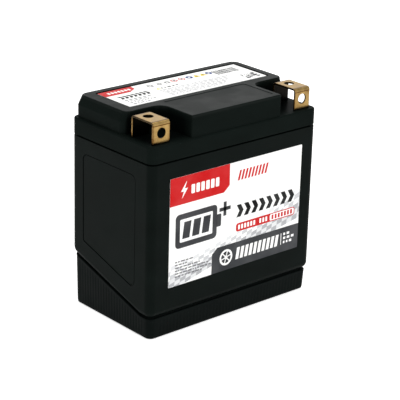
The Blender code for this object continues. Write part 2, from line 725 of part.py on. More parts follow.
def cell_pack():
    for column, x in enumerate(CELL_COLUMNS):
        for row, y in enumerate(CELL_ROWS):
            cell(f"cell_{column * len(CELL_ROWS) + row + 1:02d}", x, y, plus_up=column % 2 == 0)
    cell_holder("cell_holder_lower", CELL_BOTTOM + 0.9)
    cell_holder("cell_holder_upper", CELL_BOTTOM + CELL_HEIGHT - HOLDER_HEIGHT - 0.9)
    lower = CELL_BOTTOM - GAP - PLATE
    bus_plate("bus_plate_bottom_left", (-53.4, -1.6), lower)
    bus_plate("bus_plate_bottom_right", (1.6, 53.4), lower)
    upper = CELL_BOTTOM + CELL_HEIGHT + GAP
    bus_plate("bus_plate_top_positive", (-53.4, -29.6), upper, tab_x=-TAB_X)
    bus_plate("bus_plate_top_middle", (-25.4, 25.4), upper)
    bus_plate("bus_plate_top_negative", (29.6, 53.4), upper, tab_x=TAB_X)
    insulator("insulator_bottom", lower - GAP - INSULATION, [])
    insulator("insulator_top", upper + PLATE + GAP, [(x, y) for x, y, _ in wire_targets()])
    support_wedge()
    for side, x in (("left", (-71.6, -56.6)), ("right", (56.6, 71.6))):
        box(f"foam_pad_{side}", x, (-34.0, 34.0), (46.0, 110.0), "foam")


# Protection board


def protection_board():
    top = BOARD_BOTTOM + BOARD_THICK
    centre = (sum(BOARD_X) / 2, sum(BOARD_Y) / 2)
    half = ((BOARD_X[1] - BOARD_X[0]) / 2, (BOARD_Y[1] - BOARD_Y[0]) / 2)
    board = prism("bms_board", rounded_rectangle(*half, 2.0, 3, centre), BOARD_BOTTOM, top, "board_laminate")
    reach = (half[0] - 4.0, half[1] - 4.0)
    corners = [(centre[0] + sx * reach[0], centre[1] + sy * reach[1]) for sx in (-1, 1) for sy in (-1, 1)]
    boolean(board, cylinders("bms_board_hole_cutter", corners, 1.6, BOARD_BOTTOM - 1, top + 1, segments=12))
    box("board_foam_pad", (-20.0, 20.0), (-12.0, 8.0), (BOARD_BOTTOM - 2.9, BOARD_BOTTOM - GAP), "foam")

    mount = top + GAP
    switch_y = (MOSFET_Y - 4.5, MOSFET_Y + 4.5)
    switch_z = (mount, mount + 4.4)
    for number, x in enumerate(MOSFET_X, start=1):
        box(f"mosfet_{number}", (x - 5.0, x + 5.0), switch_y, switch_z, "component_plastic")
    low = switch_z[1] + GAP
    spreader_y = (MOSFET_Y - 7.0, MOSFET_Y + 7.0)
    spreader = box("heat_spreader", (-27.0, 27.0), spreader_y, (low, low + 4.0), "aluminium")
    for number in range(4):
        y = switch_y[0] + 3.0 * number
        groove = f"heat_spreader_groove_cutter_{number}"
        boolean(spreader, box(groove, (-28.0, 28.0), (y - 0.6, y + 0.6), (low + 1.8, low + 5.0), "aluminium"))

    shunt_outline = [(-13.0, mount), (-9.0, mount), (-9.0, mount + 2.2), (-1.0, mount + 2.2), (-1.0, mount)]
    shunt_outline += [(3.0, mount), (3.0, mount + 1.2), (0.6, mount + 1.2), (0.6, mount + 3.6)]
    shunt_outline += [(-10.6, mount + 3.6), (-10.6, mount + 1.2), (-13.0, mount + 1.2)]
    profile_bar("current_shunt", shunt_outline, 32.0, 38.0, "copper")

    can = [(4.0, mount), (4.2, mount + 0.4), (4.2, mount + 1.4), (3.8, mount + 2.0), (4.2, mount + 2.6)]
    can += [(4.2, mount + 10.2), (3.8, mount + 10.6)]
    turned("filter_capacitor", can, (-34.0, -6.0), "component_plastic")


def balance_connector():
    """Socket on the board, open towards -X, and the plug in it."""
    low = BOARD_BOTTOM + BOARD_THICK + GAP
    high = low + 7.0
    look = "connector_plastic"
    socket = box("balance_connector", (-42.0, -33.0), (13.5, 29.5), (low, high), look)
    mouth_z = (low + 1.0, high - 1.0)
    boolean(socket, box("balance_connector_mouth_cutter", (-43.0, -35.0), (14.5, 28.5), mouth_z, look))
    box("balance_plug", (-45.5, -35.4), (14.9, 28.1), (low + 1.4, high - 1.4), look)


# Wires


def wire_targets():
    """Where each balance wire ends, just above the bus plate that it measures."""
    top_end = CELL_BOTTOM + CELL_HEIGHT + GAP + PLATE + 0.5
    bottom_end = CELL_BOTTOM + 0.2
    return [
        (CELL_COLUMNS[3], WIRE_LANES[0], top_end),
        (WIRE_GAP_X, WIRE_GAP_Y, bottom_end),
        (0.0, WIRE_LANES[2], top_end),
        (-WIRE_GAP_X, WIRE_GAP_Y, bottom_end),
        (CELL_COLUMNS[0], WIRE_LANES[4], top_end),
    ]


def balance_wires():
    """Five wires leave the plug, turn under the board's edge and run to the bus plates."""
    plug_z = BOARD_BOTTOM + BOARD_THICK + GAP + 3.5
    under = 118.4
    for number, ((x, y, z), lane) in enumerate(zip(wire_targets(), WIRE_LANES), start=1):
        route = [(-45.9, lane, plug_z), (-48.5, lane, plug_z - 0.2), (-50.3, lane, plug_z - 2.6)]
        route += [(-50.0, lane, under + 1.4), (-47.4, lane, under)]
        if z > 100:
            route += [(x - 7.0, lane, under), (x - 2.0, (lane + y) / 2, under), (x, y, under - 0.8)]
            route.append((x, y, z))
        else:
            route += [(x - 9.0, lane, under), (x - 2.2, (lane + y) / 2, under), (x, y, under - 3.0)]
            route += [(x, y, 100.0), (x, y, 75.0), (x, y, z)]
        look = "black_insulation" if number == 1 else "red_insulation"
        wire(f"balance_wire_{number}", route, BALANCE_WIRE, BALANCE_WIRE_STEP, look)


def heavy_leads():
    barrel_z = FOOT_TOP - STRIP - GAP - BARREL_R
    to_positive = [(-57.2, 10.0, 120.4), (-60.5, 9.0, 120.8), (-63.4, 3.0, 122.4)]
    to_positive += [(-63.4, -5.0, 124.0), (-63.4, -10.0, barrel_z), (-63.4, -14.6, barrel_z)]
    to_negative = [(48.0, -8.0, 122.4), (48.0, -8.0, 126.0), (51.5, -5.5, 129.4), (58.0, -1.5, 128.6)]
    to_negative += [(63.0, -4.0, 125.8), (63.4, -10.0, barrel_z), (63.4, -14.6, barrel_z)]
    to_board = [(57.2, 8.0, 120.4), (61.0, 9.0, 121.0), (63.6, 13.0, 124.6), (60.5, 18.0, 128.6)]
    to_board += [(53.5, 20.5, 129.6), (48.4, 21.0, 127.0), (48.0, 21.0, 122.4)]
    wire("lead_positive", to_positive, LEAD, LEAD_STEP, "red_insulation")
    wire("lead_negative", to_negative, LEAD, LEAD_STEP, "black_insulation")
    wire("lead_pack_negative", to_board, LEAD, LEAD_STEP, "black_insulation")


# Labels


def labels():
    face = -WIDTH / 2
    box("front_label", FRONT_LABEL_X, (face, face + LABEL_THICK), FRONT_LABEL_Z, "label_print")
    box("top_label", TOP_LABEL_X, TOP_LABEL_Y, (HEIGHT - LABEL_THICK, HEIGHT), "label_print")


def build():
    clear_scene()
    base_spacer()
    case()
    lid()
    for pole, sign in (("positive", -1), ("negative", 1)):
        terminal(f"terminal_{pole}", sign)
        lug(f"lug_{pole}", sign)
        lug_screw(f"lug_screw_{pole}", sign)
        lug_nut(f"lug_nut_{pole}", sign)
    cell_pack()
    protection_board()
    balance_connector()
    balance_wires()
    heavy_leads()
    labels()


build()
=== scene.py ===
"""Looks of a motorcycle battery on its loose height spacer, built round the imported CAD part.

The values below repeat the part's few driving dimensions and add roundings, ribs and print.
"""

import json
import math
import random

import bmesh
import bpy
from mathutils import Matrix, Vector


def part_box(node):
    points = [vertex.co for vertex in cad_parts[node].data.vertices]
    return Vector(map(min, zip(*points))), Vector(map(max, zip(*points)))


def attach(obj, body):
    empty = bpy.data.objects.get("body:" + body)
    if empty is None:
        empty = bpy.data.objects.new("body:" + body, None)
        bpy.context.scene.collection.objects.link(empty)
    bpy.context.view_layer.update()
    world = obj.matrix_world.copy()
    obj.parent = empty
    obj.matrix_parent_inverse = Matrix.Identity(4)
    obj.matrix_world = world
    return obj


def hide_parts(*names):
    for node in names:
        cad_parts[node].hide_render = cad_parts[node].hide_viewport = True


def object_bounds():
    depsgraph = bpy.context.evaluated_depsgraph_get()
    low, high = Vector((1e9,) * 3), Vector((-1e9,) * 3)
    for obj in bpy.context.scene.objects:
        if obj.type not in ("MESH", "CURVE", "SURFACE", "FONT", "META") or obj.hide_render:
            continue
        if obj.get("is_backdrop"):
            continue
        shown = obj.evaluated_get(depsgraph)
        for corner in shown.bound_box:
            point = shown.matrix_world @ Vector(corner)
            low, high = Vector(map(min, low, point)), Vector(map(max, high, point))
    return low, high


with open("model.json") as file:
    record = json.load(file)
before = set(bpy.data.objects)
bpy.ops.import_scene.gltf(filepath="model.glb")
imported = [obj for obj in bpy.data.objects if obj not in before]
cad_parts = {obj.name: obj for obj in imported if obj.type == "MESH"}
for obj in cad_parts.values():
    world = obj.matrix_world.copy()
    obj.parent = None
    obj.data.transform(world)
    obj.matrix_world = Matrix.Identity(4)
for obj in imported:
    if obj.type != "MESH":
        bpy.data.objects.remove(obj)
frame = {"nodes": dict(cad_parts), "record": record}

CAD_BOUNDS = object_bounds()
MM = 0.001


def span(node):
    """A CAD node's lowest and highest corners, in millimetres."""
    low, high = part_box(node)
    return [v / MM for v in low], [v / MM for v in high]


# Places that the CAD part gives
TERMINALS = ("terminal_positive", "terminal_negative")
SPACER_LOW, SPACER_HIGH = span("base_spacer")
HALF_X, HALF_Y, CASE_TOP = span("case")[1]
LID_LOW, LID_HIGH = span("lid")
FRONT_LABEL_LOW, FRONT_LABEL_HIGH = span("front_label")
TOP_LABEL_LOW, TOP_LABEL_HIGH = span("top_label")
TERMINAL_LOW, TERMINAL_HIGH = span(TERMINALS[1])
MIDDLE_OF_TERMINAL = (TERMINAL_LOW[0] + TERMINAL_HIGH[0]) / 2
HEIGHT = LID_HIGH[2]

# Driving dimensions shared with the part
CORNER_R = 5.6
WALL = 2.2
FLOOR = 3.5
GAP = 0.3
BEND_Y = -32.0  # the seam is level in front of this line and slopes up behind it
SEAM_FRONT = 16.0
SEAM_SLOPE = 0.30
LID_BOTTOM = 125.4
BOTTOM_ROUND = 4.5
SPACER_DRAFT = 0.7
SPACER_WALL = 3.0
SPACER_RIB = 2.2
SPACER_COLUMNS = 4
KEY_HALF_X = 55.0
KEY_Y = (-24.0, 33.0)
KEY_HEIGHT = 1.5
RIM_BEVEL = 0.25
SEAM_OPENING = 0.33  # how far the case's rim and the lid's edge each stand back from their CAD faces
PANEL_Y = (-27.0, 29.6)
PANEL_Z = (35.0, 114.2)
PANEL_R = 4.5
PANEL_LOW_R = 2.0
PANEL_DEPTH = 0.24
LEDGE = 137.5
BOX_HALF_X = 72.6
BOX_BACK = 42.2
CHAMFER_FROM = 146.0
CHAMFER_IN = 2.1
POCKET_BACK = -11.0
BLOCK_HALF_X = 40.2
BLOCK_FRONT = -42.2
POCKET_R = 8.0
LID_WALL = 2.4
LIP_THICK = 1.9
SKIRT_ROUND = 1.2
TOP_EDGE = 0.7
BLOCK_PANEL_HALF = (36.5, 15.4)
BLOCK_PANEL_Y = -23.2
BLOCK_PANEL_DEPTH = 0.25
TOP_LABEL_MARGIN = 1.4
TOP_LABEL_RECESS = 0.6
STRIP = 1.3  # thickness of the terminals' brass
BEND_R = 2.2
HOLE_R = 3.5
FRONT_HOLE_Z = 144.9
TOP_HOLE_Y = -25.2
FOOT_TOP = 130.0  # the strip's foot, inside the lid, which carries the cable lug
FOOT_END_Y = -22.0
FOOT_HOLE_Y = -29.0
LUG_HOLE_R = 2.9
BACK_LEG_REACH = 2.0  # how far the back leg comes out under the ledge's wall

# Surface detail
FOOT_ROUND = 1.0
SPACER_RIM_ROUND = 0.6
RIB_PITCH = 3.0  # upright grooves round the spacer
RIB_DEPTH = 0.14
RIB_STEP = 0.5  # distance between the points that follow a groove
RIB_START = 2.2  # height of the grooves' lower ends
RIB_END = 2.8  # depth of their upper ends under the seam
RIB_RUNOUT = 0.6
HOLLOW_ROUND = 1.2
KEY_ROUND = 0.5
SEAM_STEP = 0.9  # the spacer's rim lies lower than its deck
SEAM_STEP_WIDTH = 1.6
PANEL_EDGE_ROUND = 0.22
CHANNEL_WIDTH = 0.65  # fine channel round each end panel
CHANNEL_DEPTH = 0.8
BASE_FILLET = 0.25  # where the lid's upper box meets the ledge
BOX_CORNER_R = 5.5  # the upper box's two back corners
BOX_FRONT_R = 4.5  # its two front corners, beside the pockets
BLOCK_EDGE_R = 0.9
LIP_ROOT = 1.2  # where the lip ends inside, over the lid's lower edge
LIP_INNER_R = 2.0
SKIRT_INNER_R = 2.6
SLOT_DEPTH = 6.0  # of the terminals' slots in the ledge
BLOCK_PANEL_R = 2.0
BLOCK_PANEL_ROUND = 0.15
TOP_SEAT_ROUND = 0.25
STRIP_BEVEL = 0.24
LABEL_R = 0.6
FRONT_SEAT_MARGIN = 0.2
FRONT_SEAT_DEPTH = 0.32
FRONT_SEAT_ROUND = 0.1
FRONT_SHEET_BACK = -0.28  # back of the front label's sheet, under the wall's face
TOP_SHEET = 0.28  # height of the top label's face over the floor of its recess
SHEET_GAP = 0.02  # the top label's sheet begins this far over that floor
SHEET_PROUD = 0.05  # how far the front label's sheet stands above the wall
INK = 0.012  # thickness of one layer of ink
INK_SUNK = 0.02  # how far the inks reach into the sheet
THINNEST_CELL = 0.3
OVERRUN = 1.0  # how far a cutter runs past the face that it cuts
BEVEL_ANGLE = 30.0  # degrees; flatter edges get no bevel
SMOOTH_ANGLE = 35.0  # degrees; sharper edges stay sharp in the shading


# Outlines


def arc(centre, radius, start, end, segments):
    """Points of an arc from start to end in degrees."""
    turn = [math.radians(start + (end - start) * i / segments) for i in range(segments + 1)]
    return [(centre[0] + radius * math.cos(a), centre[1] + radius * math.sin(a)) for a in turn]


def quarter_round(radius, steps):
    """Steps of a quarter circle: each one's distance from its side wall and from its end face."""
    for i in range(steps + 1):
        a = math.radians(90 * i / steps)
        yield radius * (1 - math.sin(a)), radius * (1 - math.cos(a))


def rounded_rectangle(half_x, half_y, radius, segments, centre=(0.0, 0.0)):
    corners = []
    for sign_x, sign_y, start in ((1, 1, 0), (-1, 1, 90), (-1, -1, 180), (1, -1, 270)):
        middle = (centre[0] + sign_x * (half_x - radius), centre[1] + sign_y * (half_y - radius))
        corners += arc(middle, radius, start, start + 90, segments)
    return corners


def grown(outline, distance):
    """The outline moved outwards by a distance, with its corners mitred."""
    count = len(outline)
    moved = []
    for i, (x, y) in enumerate(outline):
        before = Vector(outline[i]) - Vector(outline[i - 1])
        after = Vector(outline[(i + 1) % count]) - Vector(outline[i])
        first = Vector((before.y, -before.x)).normalized()
        second = Vector((after.y, -after.x)).normalized()
        shift = (first + second) * (distance / max(0.2, 1.0 + first.dot(second)))
        moved.append((x + shift.x, y + shift.y))
    return moved


# Meshes


def new_object(name, points, faces):
    mesh = bpy.data.meshes.new(name)
    mesh.from_pydata([Vector(p) * MM for p in points], [], faces)
    tidy = bmesh.new()
    tidy.from_mesh(mesh)
    bmesh.ops.recalc_face_normals(tidy, faces=tidy.faces)
    tidy.to_mesh(mesh)
    tidy.free()
    thing = bpy.data.objects.new(name, mesh)
    bpy.context.scene.collection.objects.link(thing)
    return thing


def lofted(name, rings, caps=None, closed=False):
    """Skins rings that hold the same number of points.

    caps gives the closing polygons; a closed loft has none and joins its last ring to its first.
    """
    count = len(rings[0])
    points = [point for ring in rings for point in ring]
    faces = []
    for step in range(len(rings) if closed else len(rings) - 1):
        low = step * count
        high = (step + 1) % len(rings) * count
        for i in range(count):
            j = (i + 1) % count
            faces.append([low + i, low + j, high + j, high + i])
    if closed:
        return new_object(name, points, faces)
    last = (len(rings) - 1) * count
    for polygon in caps or [list(range(count))]:
        faces.append(polygon[::-1])
        faces.append([last + i for i in polygon])
    return new_object(name, points, faces)


def prism(name, outline, low, high):
    return lofted(name, [[(x, y, low) for x, y in outline], [(x, y, high) for x, y in outline]])


def profile_bar(name, profile, x_low, x_high):
    """A side profile in YZ made solid along X."""
    return lofted(name, [[(x_low, y, z) for y, z in profile], [(x_high, y, z) for y, z in profile]])


def box(name, x, y, z):
    return prism(name, [(x[0], y[0]), (x[1], y[0]), (x[1], y[1]), (x[0], y[1])], z[0], z[1])


def cylinder(name, centre, radius, reach, along_y=False):
    """A cutter for a round hole, reach to each side of its centre, upright or along Y."""
    x, y, z = centre
    ring = arc((0.0, 0.0), radius, 0, 360, 48)[:-1]
    if along_y:
        rings = [[(x + u, y + end, z + v) for u, v in ring] for end in (-reach, reach)]
    else:
        rings = [[(x + u, y + v, z + end) for u, v in ring] for end in (-reach, reach)]
    return lofted(name, rings)


def boolean(target, cutter, operation="DIFFERENCE"):
    step = target.modifiers.new(cutter.name, "BOOLEAN")
    step.operation = operation
    step.solver = "EXACT"
    step.object = cutter


def bevel(target, width):
    step = target.modifiers.new("bevel", "BEVEL")
    step.width = width * MM
    step.segments = 3
    step.limit_method = "ANGLE"
    step.angle_limit = math.radians(BEVEL_ANGLE)
    step.miter_outer = "MITER_ARC"
    return target


def settled(thing):
    """Applies the modifiers, removes the cutters and smooths the shading of the curved faces."""
    helpers = [m.object for m in thing.modifiers if m.type == "BOOLEAN"]
    apply_modifiers(thing)
    for helper in helpers:
        bpy.data.objects.remove(helper, do_unlink=True)
    thing.data.shade_smooth()
    thing.data.set_sharp_from_angle(angle=math.radians(SMOOTH_ANGLE))
    flatten = thing.modifiers.new("flatten", "WEIGHTED_NORMAL")
    flatten.keep_sharp = True
    apply_modifiers(thing)
    return thing


def apply_modifiers(thing):
    bpy.context.view_layer.update()
    evaluated = thing.evaluated_get(bpy.context.evaluated_depsgraph_get())
    mesh = bpy.data.meshes.new_from_object(evaluated)
    thing.modifiers.clear()
    thing.data = mesh


def place(thing, body, slot, *nodes):
    """Puts the piece on its body, in its material slot, instead of the CAD nodes, and paints it."""
    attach(thing, body)
    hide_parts(*nodes)
    if slot in MATERIALS:
        thing.data.materials.clear()
        thing.data.materials.append(MATERIALS[slot])


# Seam between the spacer and the case


def seam_height(y):
    """Top of the spacer: level at the front, rising towards the back."""
    return SEAM_FRONT + SEAM_SLOPE * max(0.0, y - BEND_Y)


def above_seam(offset):
    return lambda y: seam_height(y) + offset


def level(z):
    return lambda y: z


def seam_ring(half_x, half_y, radius, height, segments=12):
    """A rounded rectangle whose points lie at height(y), with a point on the bend line each side."""
    corners = rounded_rectangle(half_x, half_y, radius, segments)
    half = len(corners) // 2
    outline = [(half_x, BEND_Y)] + corners[:half] + [(-half_x, BEND_Y)] + corners[half:]
    return [(x, y, height(y)) for x, y in outline]


def bend_caps(ring):
    """Closing polygons of a ring that starts on the bend line: one behind it and one in front."""
    left = min(i for i, p in enumerate(ring) if p[0] < 0 and abs(p[1] - BEND_Y) < 1e-6)
    return [list(range(0, left + 1)), list(range(left, len(ring))) + [0]]


def sloped_slab(name, half_x, y, offset_low, offset_high):
    """A slab that follows the seam between two offsets from it."""
    profile = [(y[0], seam_height(y[0]) + offset_low), (y[1], seam_height(y[1]) + offset_low)]
    profile += [(y[1], seam_height(y[1]) + offset_high), (y[0], seam_height(y[0]) + offset_high)]
    return profile_bar(name, profile, -half_x, half_x)


# Spacer


SPACER_R = CORNER_R - 0.9
FLAT_HALF = (SPACER_HIGH[0] - SPACER_R, SPACER_HIGH[1] - SPACER_R)
STEPS_X, STEPS_Y = (2 * round(half / RIB_STEP) for half in FLAT_HALF)
BEND_STEP = round((BEND_Y / FLAT_HALF[1] + 1) * STEPS_Y / 2) - 1


def grooved_ring(inset, draft, height, share):
    """A ring round the spacer's wall, with share of the depth of its upright grooves."""
    half_x = SPACER_HIGH[0] - draft - inset
    half_y = SPACER_HIGH[1] - draft - inset
    radius = SPACER_R - inset
    flat_x = half_x - radius
    flat_y = half_y - radius

    def depth(s, flat):
        fade = min(1.0, max(0.0, (flat - abs(s) - 1.0) / 2.0))
        return share * fade * RIB_DEPTH * (0.5 - 0.5 * math.cos(2 * math.pi * s / RIB_PITCH))

    ends = [flat_x * (2 * i / STEPS_X - 1) for i in range(1, STEPS_X)]
    sides = [flat_y * (2 * i / STEPS_Y - 1) for i in range(1, STEPS_Y)]
    sides[BEND_STEP] = BEND_Y
    outline = [(half_x - depth(s, flat_y), s) for s in sides]
    outline += arc((flat_x, flat_y), radius, 0, 90, 10)
    outline += [(s, half_y - depth(s, flat_x)) for s in reversed(ends)]
    outline += arc((-flat_x, flat_y), radius, 90, 180, 10)
    outline += [(-half_x + depth(s, flat_y), s) for s in reversed(sides)]
    outline += arc((-flat_x, -flat_y), radius, 180, 270, 10)
    outline += [(s, -half_y + depth(s, flat_x)) for s in ends]
    outline += arc((flat_x, -flat_y), radius, 270, 360, 10)
    outline = outline[BEND_STEP:] + outline[:BEND_STEP]
    return [(x, y, height(y)) for x, y in outline]


def hollow_cutters():
    """The open hollows under the deck, with rounded corners."""
    inner_x = SPACER_HIGH[0] - SPACER_DRAFT - SPACER_WALL
    inner_y = -SPACER_LOW[1] - SPACER_DRAFT - SPACER_WALL
    pitch = (2 * inner_x + SPACER_RIB) / SPACER_COLUMNS
    for row, (y_low, y_high) in enumerate(((-inner_y, -SPACER_RIB / 2), (SPACER_RIB / 2, inner_y))):
        mouth = -HOLLOW_ROUND - 1.8  # low enough for the rounding to stay outside
        profile = [(y_low, mouth), (y_high, mouth), (y_high, seam_height(y_high) - SPACER_WALL)]
        if y_low < BEND_Y:
            profile.append((BEND_Y, SEAM_FRONT - SPACER_WALL))
        profile.append((y_low, seam_height(y_low) - SPACER_WALL))
        for column in range(SPACER_COLUMNS):
            x_low = -inner_x + column * pitch
            cutter = profile_bar(f"hollow_{row}_{column}", profile, x_low, x_low + pitch - SPACER_RIB)
            yield bevel(cutter, HOLLOW_ROUND)


def spacer():
    low_draft, high_draft, rim_draft = SPACER_DRAFT * 0.8, 0.15, 0.12
    rings = []
    for inset, rise in quarter_round(FOOT_ROUND, 4):
        rings.append(grooved_ring(inset, SPACER_DRAFT, level(rise), 0.0))
    rings.append(grooved_ring(0.0, low_draft, level(RIB_START), 0.0))
    rings.append(grooved_ring(0.0, low_draft, level(RIB_START + RIB_RUNOUT), 1.0))
    rings.append(grooved_ring(0.0, high_draft, above_seam(-RIB_END - RIB_RUNOUT), 1.0))
    rings.append(grooved_ring(0.0, rim_draft, above_seam(-RIB_END), 0.0))
    for drop, inset in quarter_round(SPACER_RIM_ROUND, 4):
        rings.append(grooved_ring(inset, 0.0, above_seam(-SEAM_STEP - drop), 0.0))
    rings.append(grooved_ring(SEAM_STEP_WIDTH, 0.0, above_seam(-SEAM_STEP), 0.0))
    rings.append(grooved_ring(SEAM_STEP_WIDTH + 0.1, 0.0, above_seam(0.0), 0.0))
    body = lofted("spacer_moulding", rings, bend_caps(rings[0]))
    key = sloped_slab("spacer_key", KEY_HALF_X, KEY_Y, -OVERRUN, KEY_HEIGHT)
    boolean(body, bevel(key, KEY_ROUND), "UNION")
    for cutter in hollow_cutters():
        boolean(body, cutter)
    place(settled(body), "spacer", "spacer_plastic", "base_spacer")


# Shallow recesses with a rounded rim


def on_front(u, v, h):
    return (u, -HALF_Y - h, v)


def on_right(u, v, h):
    return (HALF_X + h, u, v)


def on_left(u, v, h):
    return (-HALF_X - h, u, v)


def on_top(u, v, h):
    return (u, v, HEIGHT + h)


def recess_cutter(name, outline, plane, depth, rounding):
    levels = [(-0.4 * rounding, -depth), (0.0, -depth + 0.4 * rounding)]
    levels += [(offset, -drop) for drop, offset in quarter_round(rounding, 4)]
    levels.append((rounding, OVERRUN))
    rings = [[plane(u, v, h) for u, v in grown(outline, offset)] for offset, h in levels]
    return lofted(name, rings)


def channel_cutter(name, outline, plane):
    """A ring that cuts a narrow channel along an outline."""
    outer, inner = grown(outline, CHANNEL_WIDTH / 2), grown(outline, -CHANNEL_WIDTH / 2)
    sides = [(outer, -CHANNEL_DEPTH), (outer, OVERRUN), (inner, OVERRUN), (inner, -CHANNEL_DEPTH)]
    return lofted(name, [[plane(u, v, h) for u, v in side] for side, h in sides], closed=True)


# Case


def end_panel_outline():
    """The shallow panel on each end wall: a rectangle with a sloping bottom edge, in YZ."""
    front, back = PANEL_Y
    low, top = PANEL_Z
    low_back = low + SEAM_SLOPE * (back - front - PANEL_R)
    steepness = math.degrees(math.atan(SEAM_SLOPE))
    outline = arc((front + PANEL_R, low + PANEL_R), PANEL_R, 180, 270 + steepness * 0.5, 10)
    outline += arc((back - PANEL_LOW_R, low_back + PANEL_LOW_R * 0.7), PANEL_LOW_R, steepness - 90, 0, 6)
    outline += arc((back - PANEL_R, top - PANEL_R), PANEL_R, 0, 90, 10)
    outline += arc((front + PANEL_R, top - PANEL_R), PANEL_R, 90, 180, 10)
    return outline


def case():
    rings = []
    for inset, rise in quarter_round(BOTTOM_ROUND, 8):
        rings.append(seam_ring(HALF_X - inset, HALF_Y - inset, CORNER_R - inset, above_seam(GAP + rise)))
    rim = CASE_TOP - SEAM_OPENING
    for drop, inset in quarter_round(RIM_BEVEL, 3):
        rings.append(seam_ring(HALF_X - inset, HALF_Y - inset, CORNER_R - inset, level(rim - drop)))
    inner = (HALF_X - WALL, HALF_Y - WALL, CORNER_R - WALL)
    rings.append(seam_ring(*inner, level(rim)))
    rings.append(seam_ring(*inner, above_seam(GAP + FLOOR)))
    body = lofted("case_shell", rings, bend_caps(rings[0]))
    pocket_y = (KEY_Y[0] - GAP, KEY_Y[1] + GAP)
    pocket_top = KEY_HEIGHT + 2 * GAP
    boolean(body, sloped_slab("key_pocket", KEY_HALF_X + GAP, pocket_y, -OVERRUN, pocket_top))
    outline = end_panel_outline()
    for side, plane in (("left", on_left), ("right", on_right)):
        boolean(body, recess_cutter(f"{side}_panel", outline, plane, PANEL_DEPTH, PANEL_EDGE_ROUND))
        boolean(body, channel_cutter(f"{side}_channel", outline, plane))
    across = (FRONT_LABEL_LOW[0], FRONT_LABEL_HIGH[0])
    seat = label_seat(across, (FRONT_LABEL_LOW[2], FRONT_LABEL_HIGH[2]), FRONT_SEAT_MARGIN)
    boolean(body, recess_cutter("label_seat", seat, on_front, FRONT_SEAT_DEPTH, FRONT_SEAT_ROUND))
    place(settled(body), "battery", "case_plastic", "case")


def label_seat(u, v, margin):
    """A label's outline with a margin round it; u and v are its lowest and highest coordinates."""
    half = ((u[1] - u[0]) / 2 + margin, (v[1] - v[0]) / 2 + margin)
    return rounded_rectangle(*half, LABEL_R + margin, 4, ((u[0] + u[1]) / 2, (v[0] + v[1]) / 2))


# Lid


def upper_box_ring(shrink, wall_in, z):
    """The lid's upper box from above: a bar across the back with the block in front of it.

    shrink moves every wall inwards, and wall_in moves only the two ends and the back.
    """
    end = BOX_HALF_X - shrink - wall_in
    back = BOX_BACK - shrink - wall_in
    front = BLOCK_FRONT + shrink
    block = BLOCK_HALF_X - shrink
    pocket = POCKET_BACK + shrink
    concave = POCKET_R + shrink
    convex = BOX_FRONT_R - min(shrink, 2.0)
    edge = max(BLOCK_EDGE_R - shrink, 0.2)
    right = arc((block - edge, front + edge), edge, 270, 360, 6)
    right += arc((block + concave, pocket - concave), concave, 180, 90, 16)
    right += arc((end - convex, pocket + convex), convex, 270, 360, 10)
    right += arc((end - BOX_CORNER_R, back - BOX_CORNER_R), BOX_CORNER_R, 0, 90, 12)
    left = [(-x, y) for x, y in reversed(right)]
    return [(x, y, z) for x, y in right + left]


def level_ring(inset, z, radius, segments=4):
    outline = rounded_rectangle(HALF_X - inset, HALF_Y - inset, radius, segments)
    return [(x, y, z) for x, y in outline]


def skirt_ring(inset, z):
    return level_ring(inset, z, CORNER_R - inset, 12)


def skirt_rings():
    """The lid from its lip, which goes down into the case, up to the ledge."""
    lip = WALL + GAP
    edge = LID_BOTTOM + SEAM_OPENING
    rings = [skirt_ring(lip, LID_LOW[2]), skirt_ring(lip, edge)]
    rings += [skirt_ring(inset, edge + rise) for inset, rise in quarter_round(RIM_BEVEL, 3)]
    rings += [skirt_ring(inset, LEDGE - drop) for drop, inset in quarter_round(SKIRT_ROUND, 6)]
    return rings


def upper_box_rings():
    """The upper box, from its fillet on the ledge, past the chamfer line, to its rounded top edge."""
    lean = CHAMFER_IN / (HEIGHT - CHAMFER_FROM)
    rings = [upper_box_ring(-BASE_FILLET, 0.0, LEDGE - 0.8)]
    for spread, rise in quarter_round(BASE_FILLET, 4):
        rings.append(upper_box_ring(-spread, 0.0, LEDGE + rise))
    for rise, share in ((-0.5, 0.0), (0.0, 0.12), (0.5, 0.5)):
        rings.append(upper_box_ring(0.0, share * lean, CHAMFER_FROM + rise))
    for drop, inset in quarter_round(TOP_EDGE, 5):
        z = HEIGHT - drop
        rings.append(upper_box_ring(inset, lean * (z - CHAMFER_FROM), z))
    return rings


def hollow_out(body):
    """Cuts the room inside the lip and the skirt, and inside the upper box."""
    lip_inner = WALL + GAP + LIP_THICK
    lip_root = LID_BOTTOM + LIP_ROOT
    cavity = [level_ring(lip_inner, z, LIP_INNER_R) for z in (LID_LOW[2] - OVERRUN, lip_root)]
    cavity += [level_ring(LID_WALL, z, SKIRT_INNER_R) for z in (lip_root + 0.6, LEDGE - LID_WALL)]
    boolean(body, lofted("cavity", cavity))
    upper_cavity = [
        upper_box_ring(LID_WALL, 0.0, LEDGE - LID_WALL - OVERRUN),
        upper_box_ring(LID_WALL, 0.0, CHAMFER_FROM - 1.0),
        upper_box_ring(LID_WALL, CHAMFER_IN, HEIGHT - LID_WALL - 0.6),
    ]
    boolean(body, lofted("upper_cavity", upper_cavity))


def cut_terminal_slots(body):
    for node in TERMINALS:
        low, high = span(node)
        x = (low[0] - GAP, high[0] + GAP)
        z = (LEDGE - SLOT_DEPTH, LEDGE + OVERRUN)
        for leg, y in (("front", low[1]), ("back", high[1] - STRIP)):
            boolean(body, box(f"{node}_{leg}_slot", x, (y - GAP, y + STRIP + GAP), z))


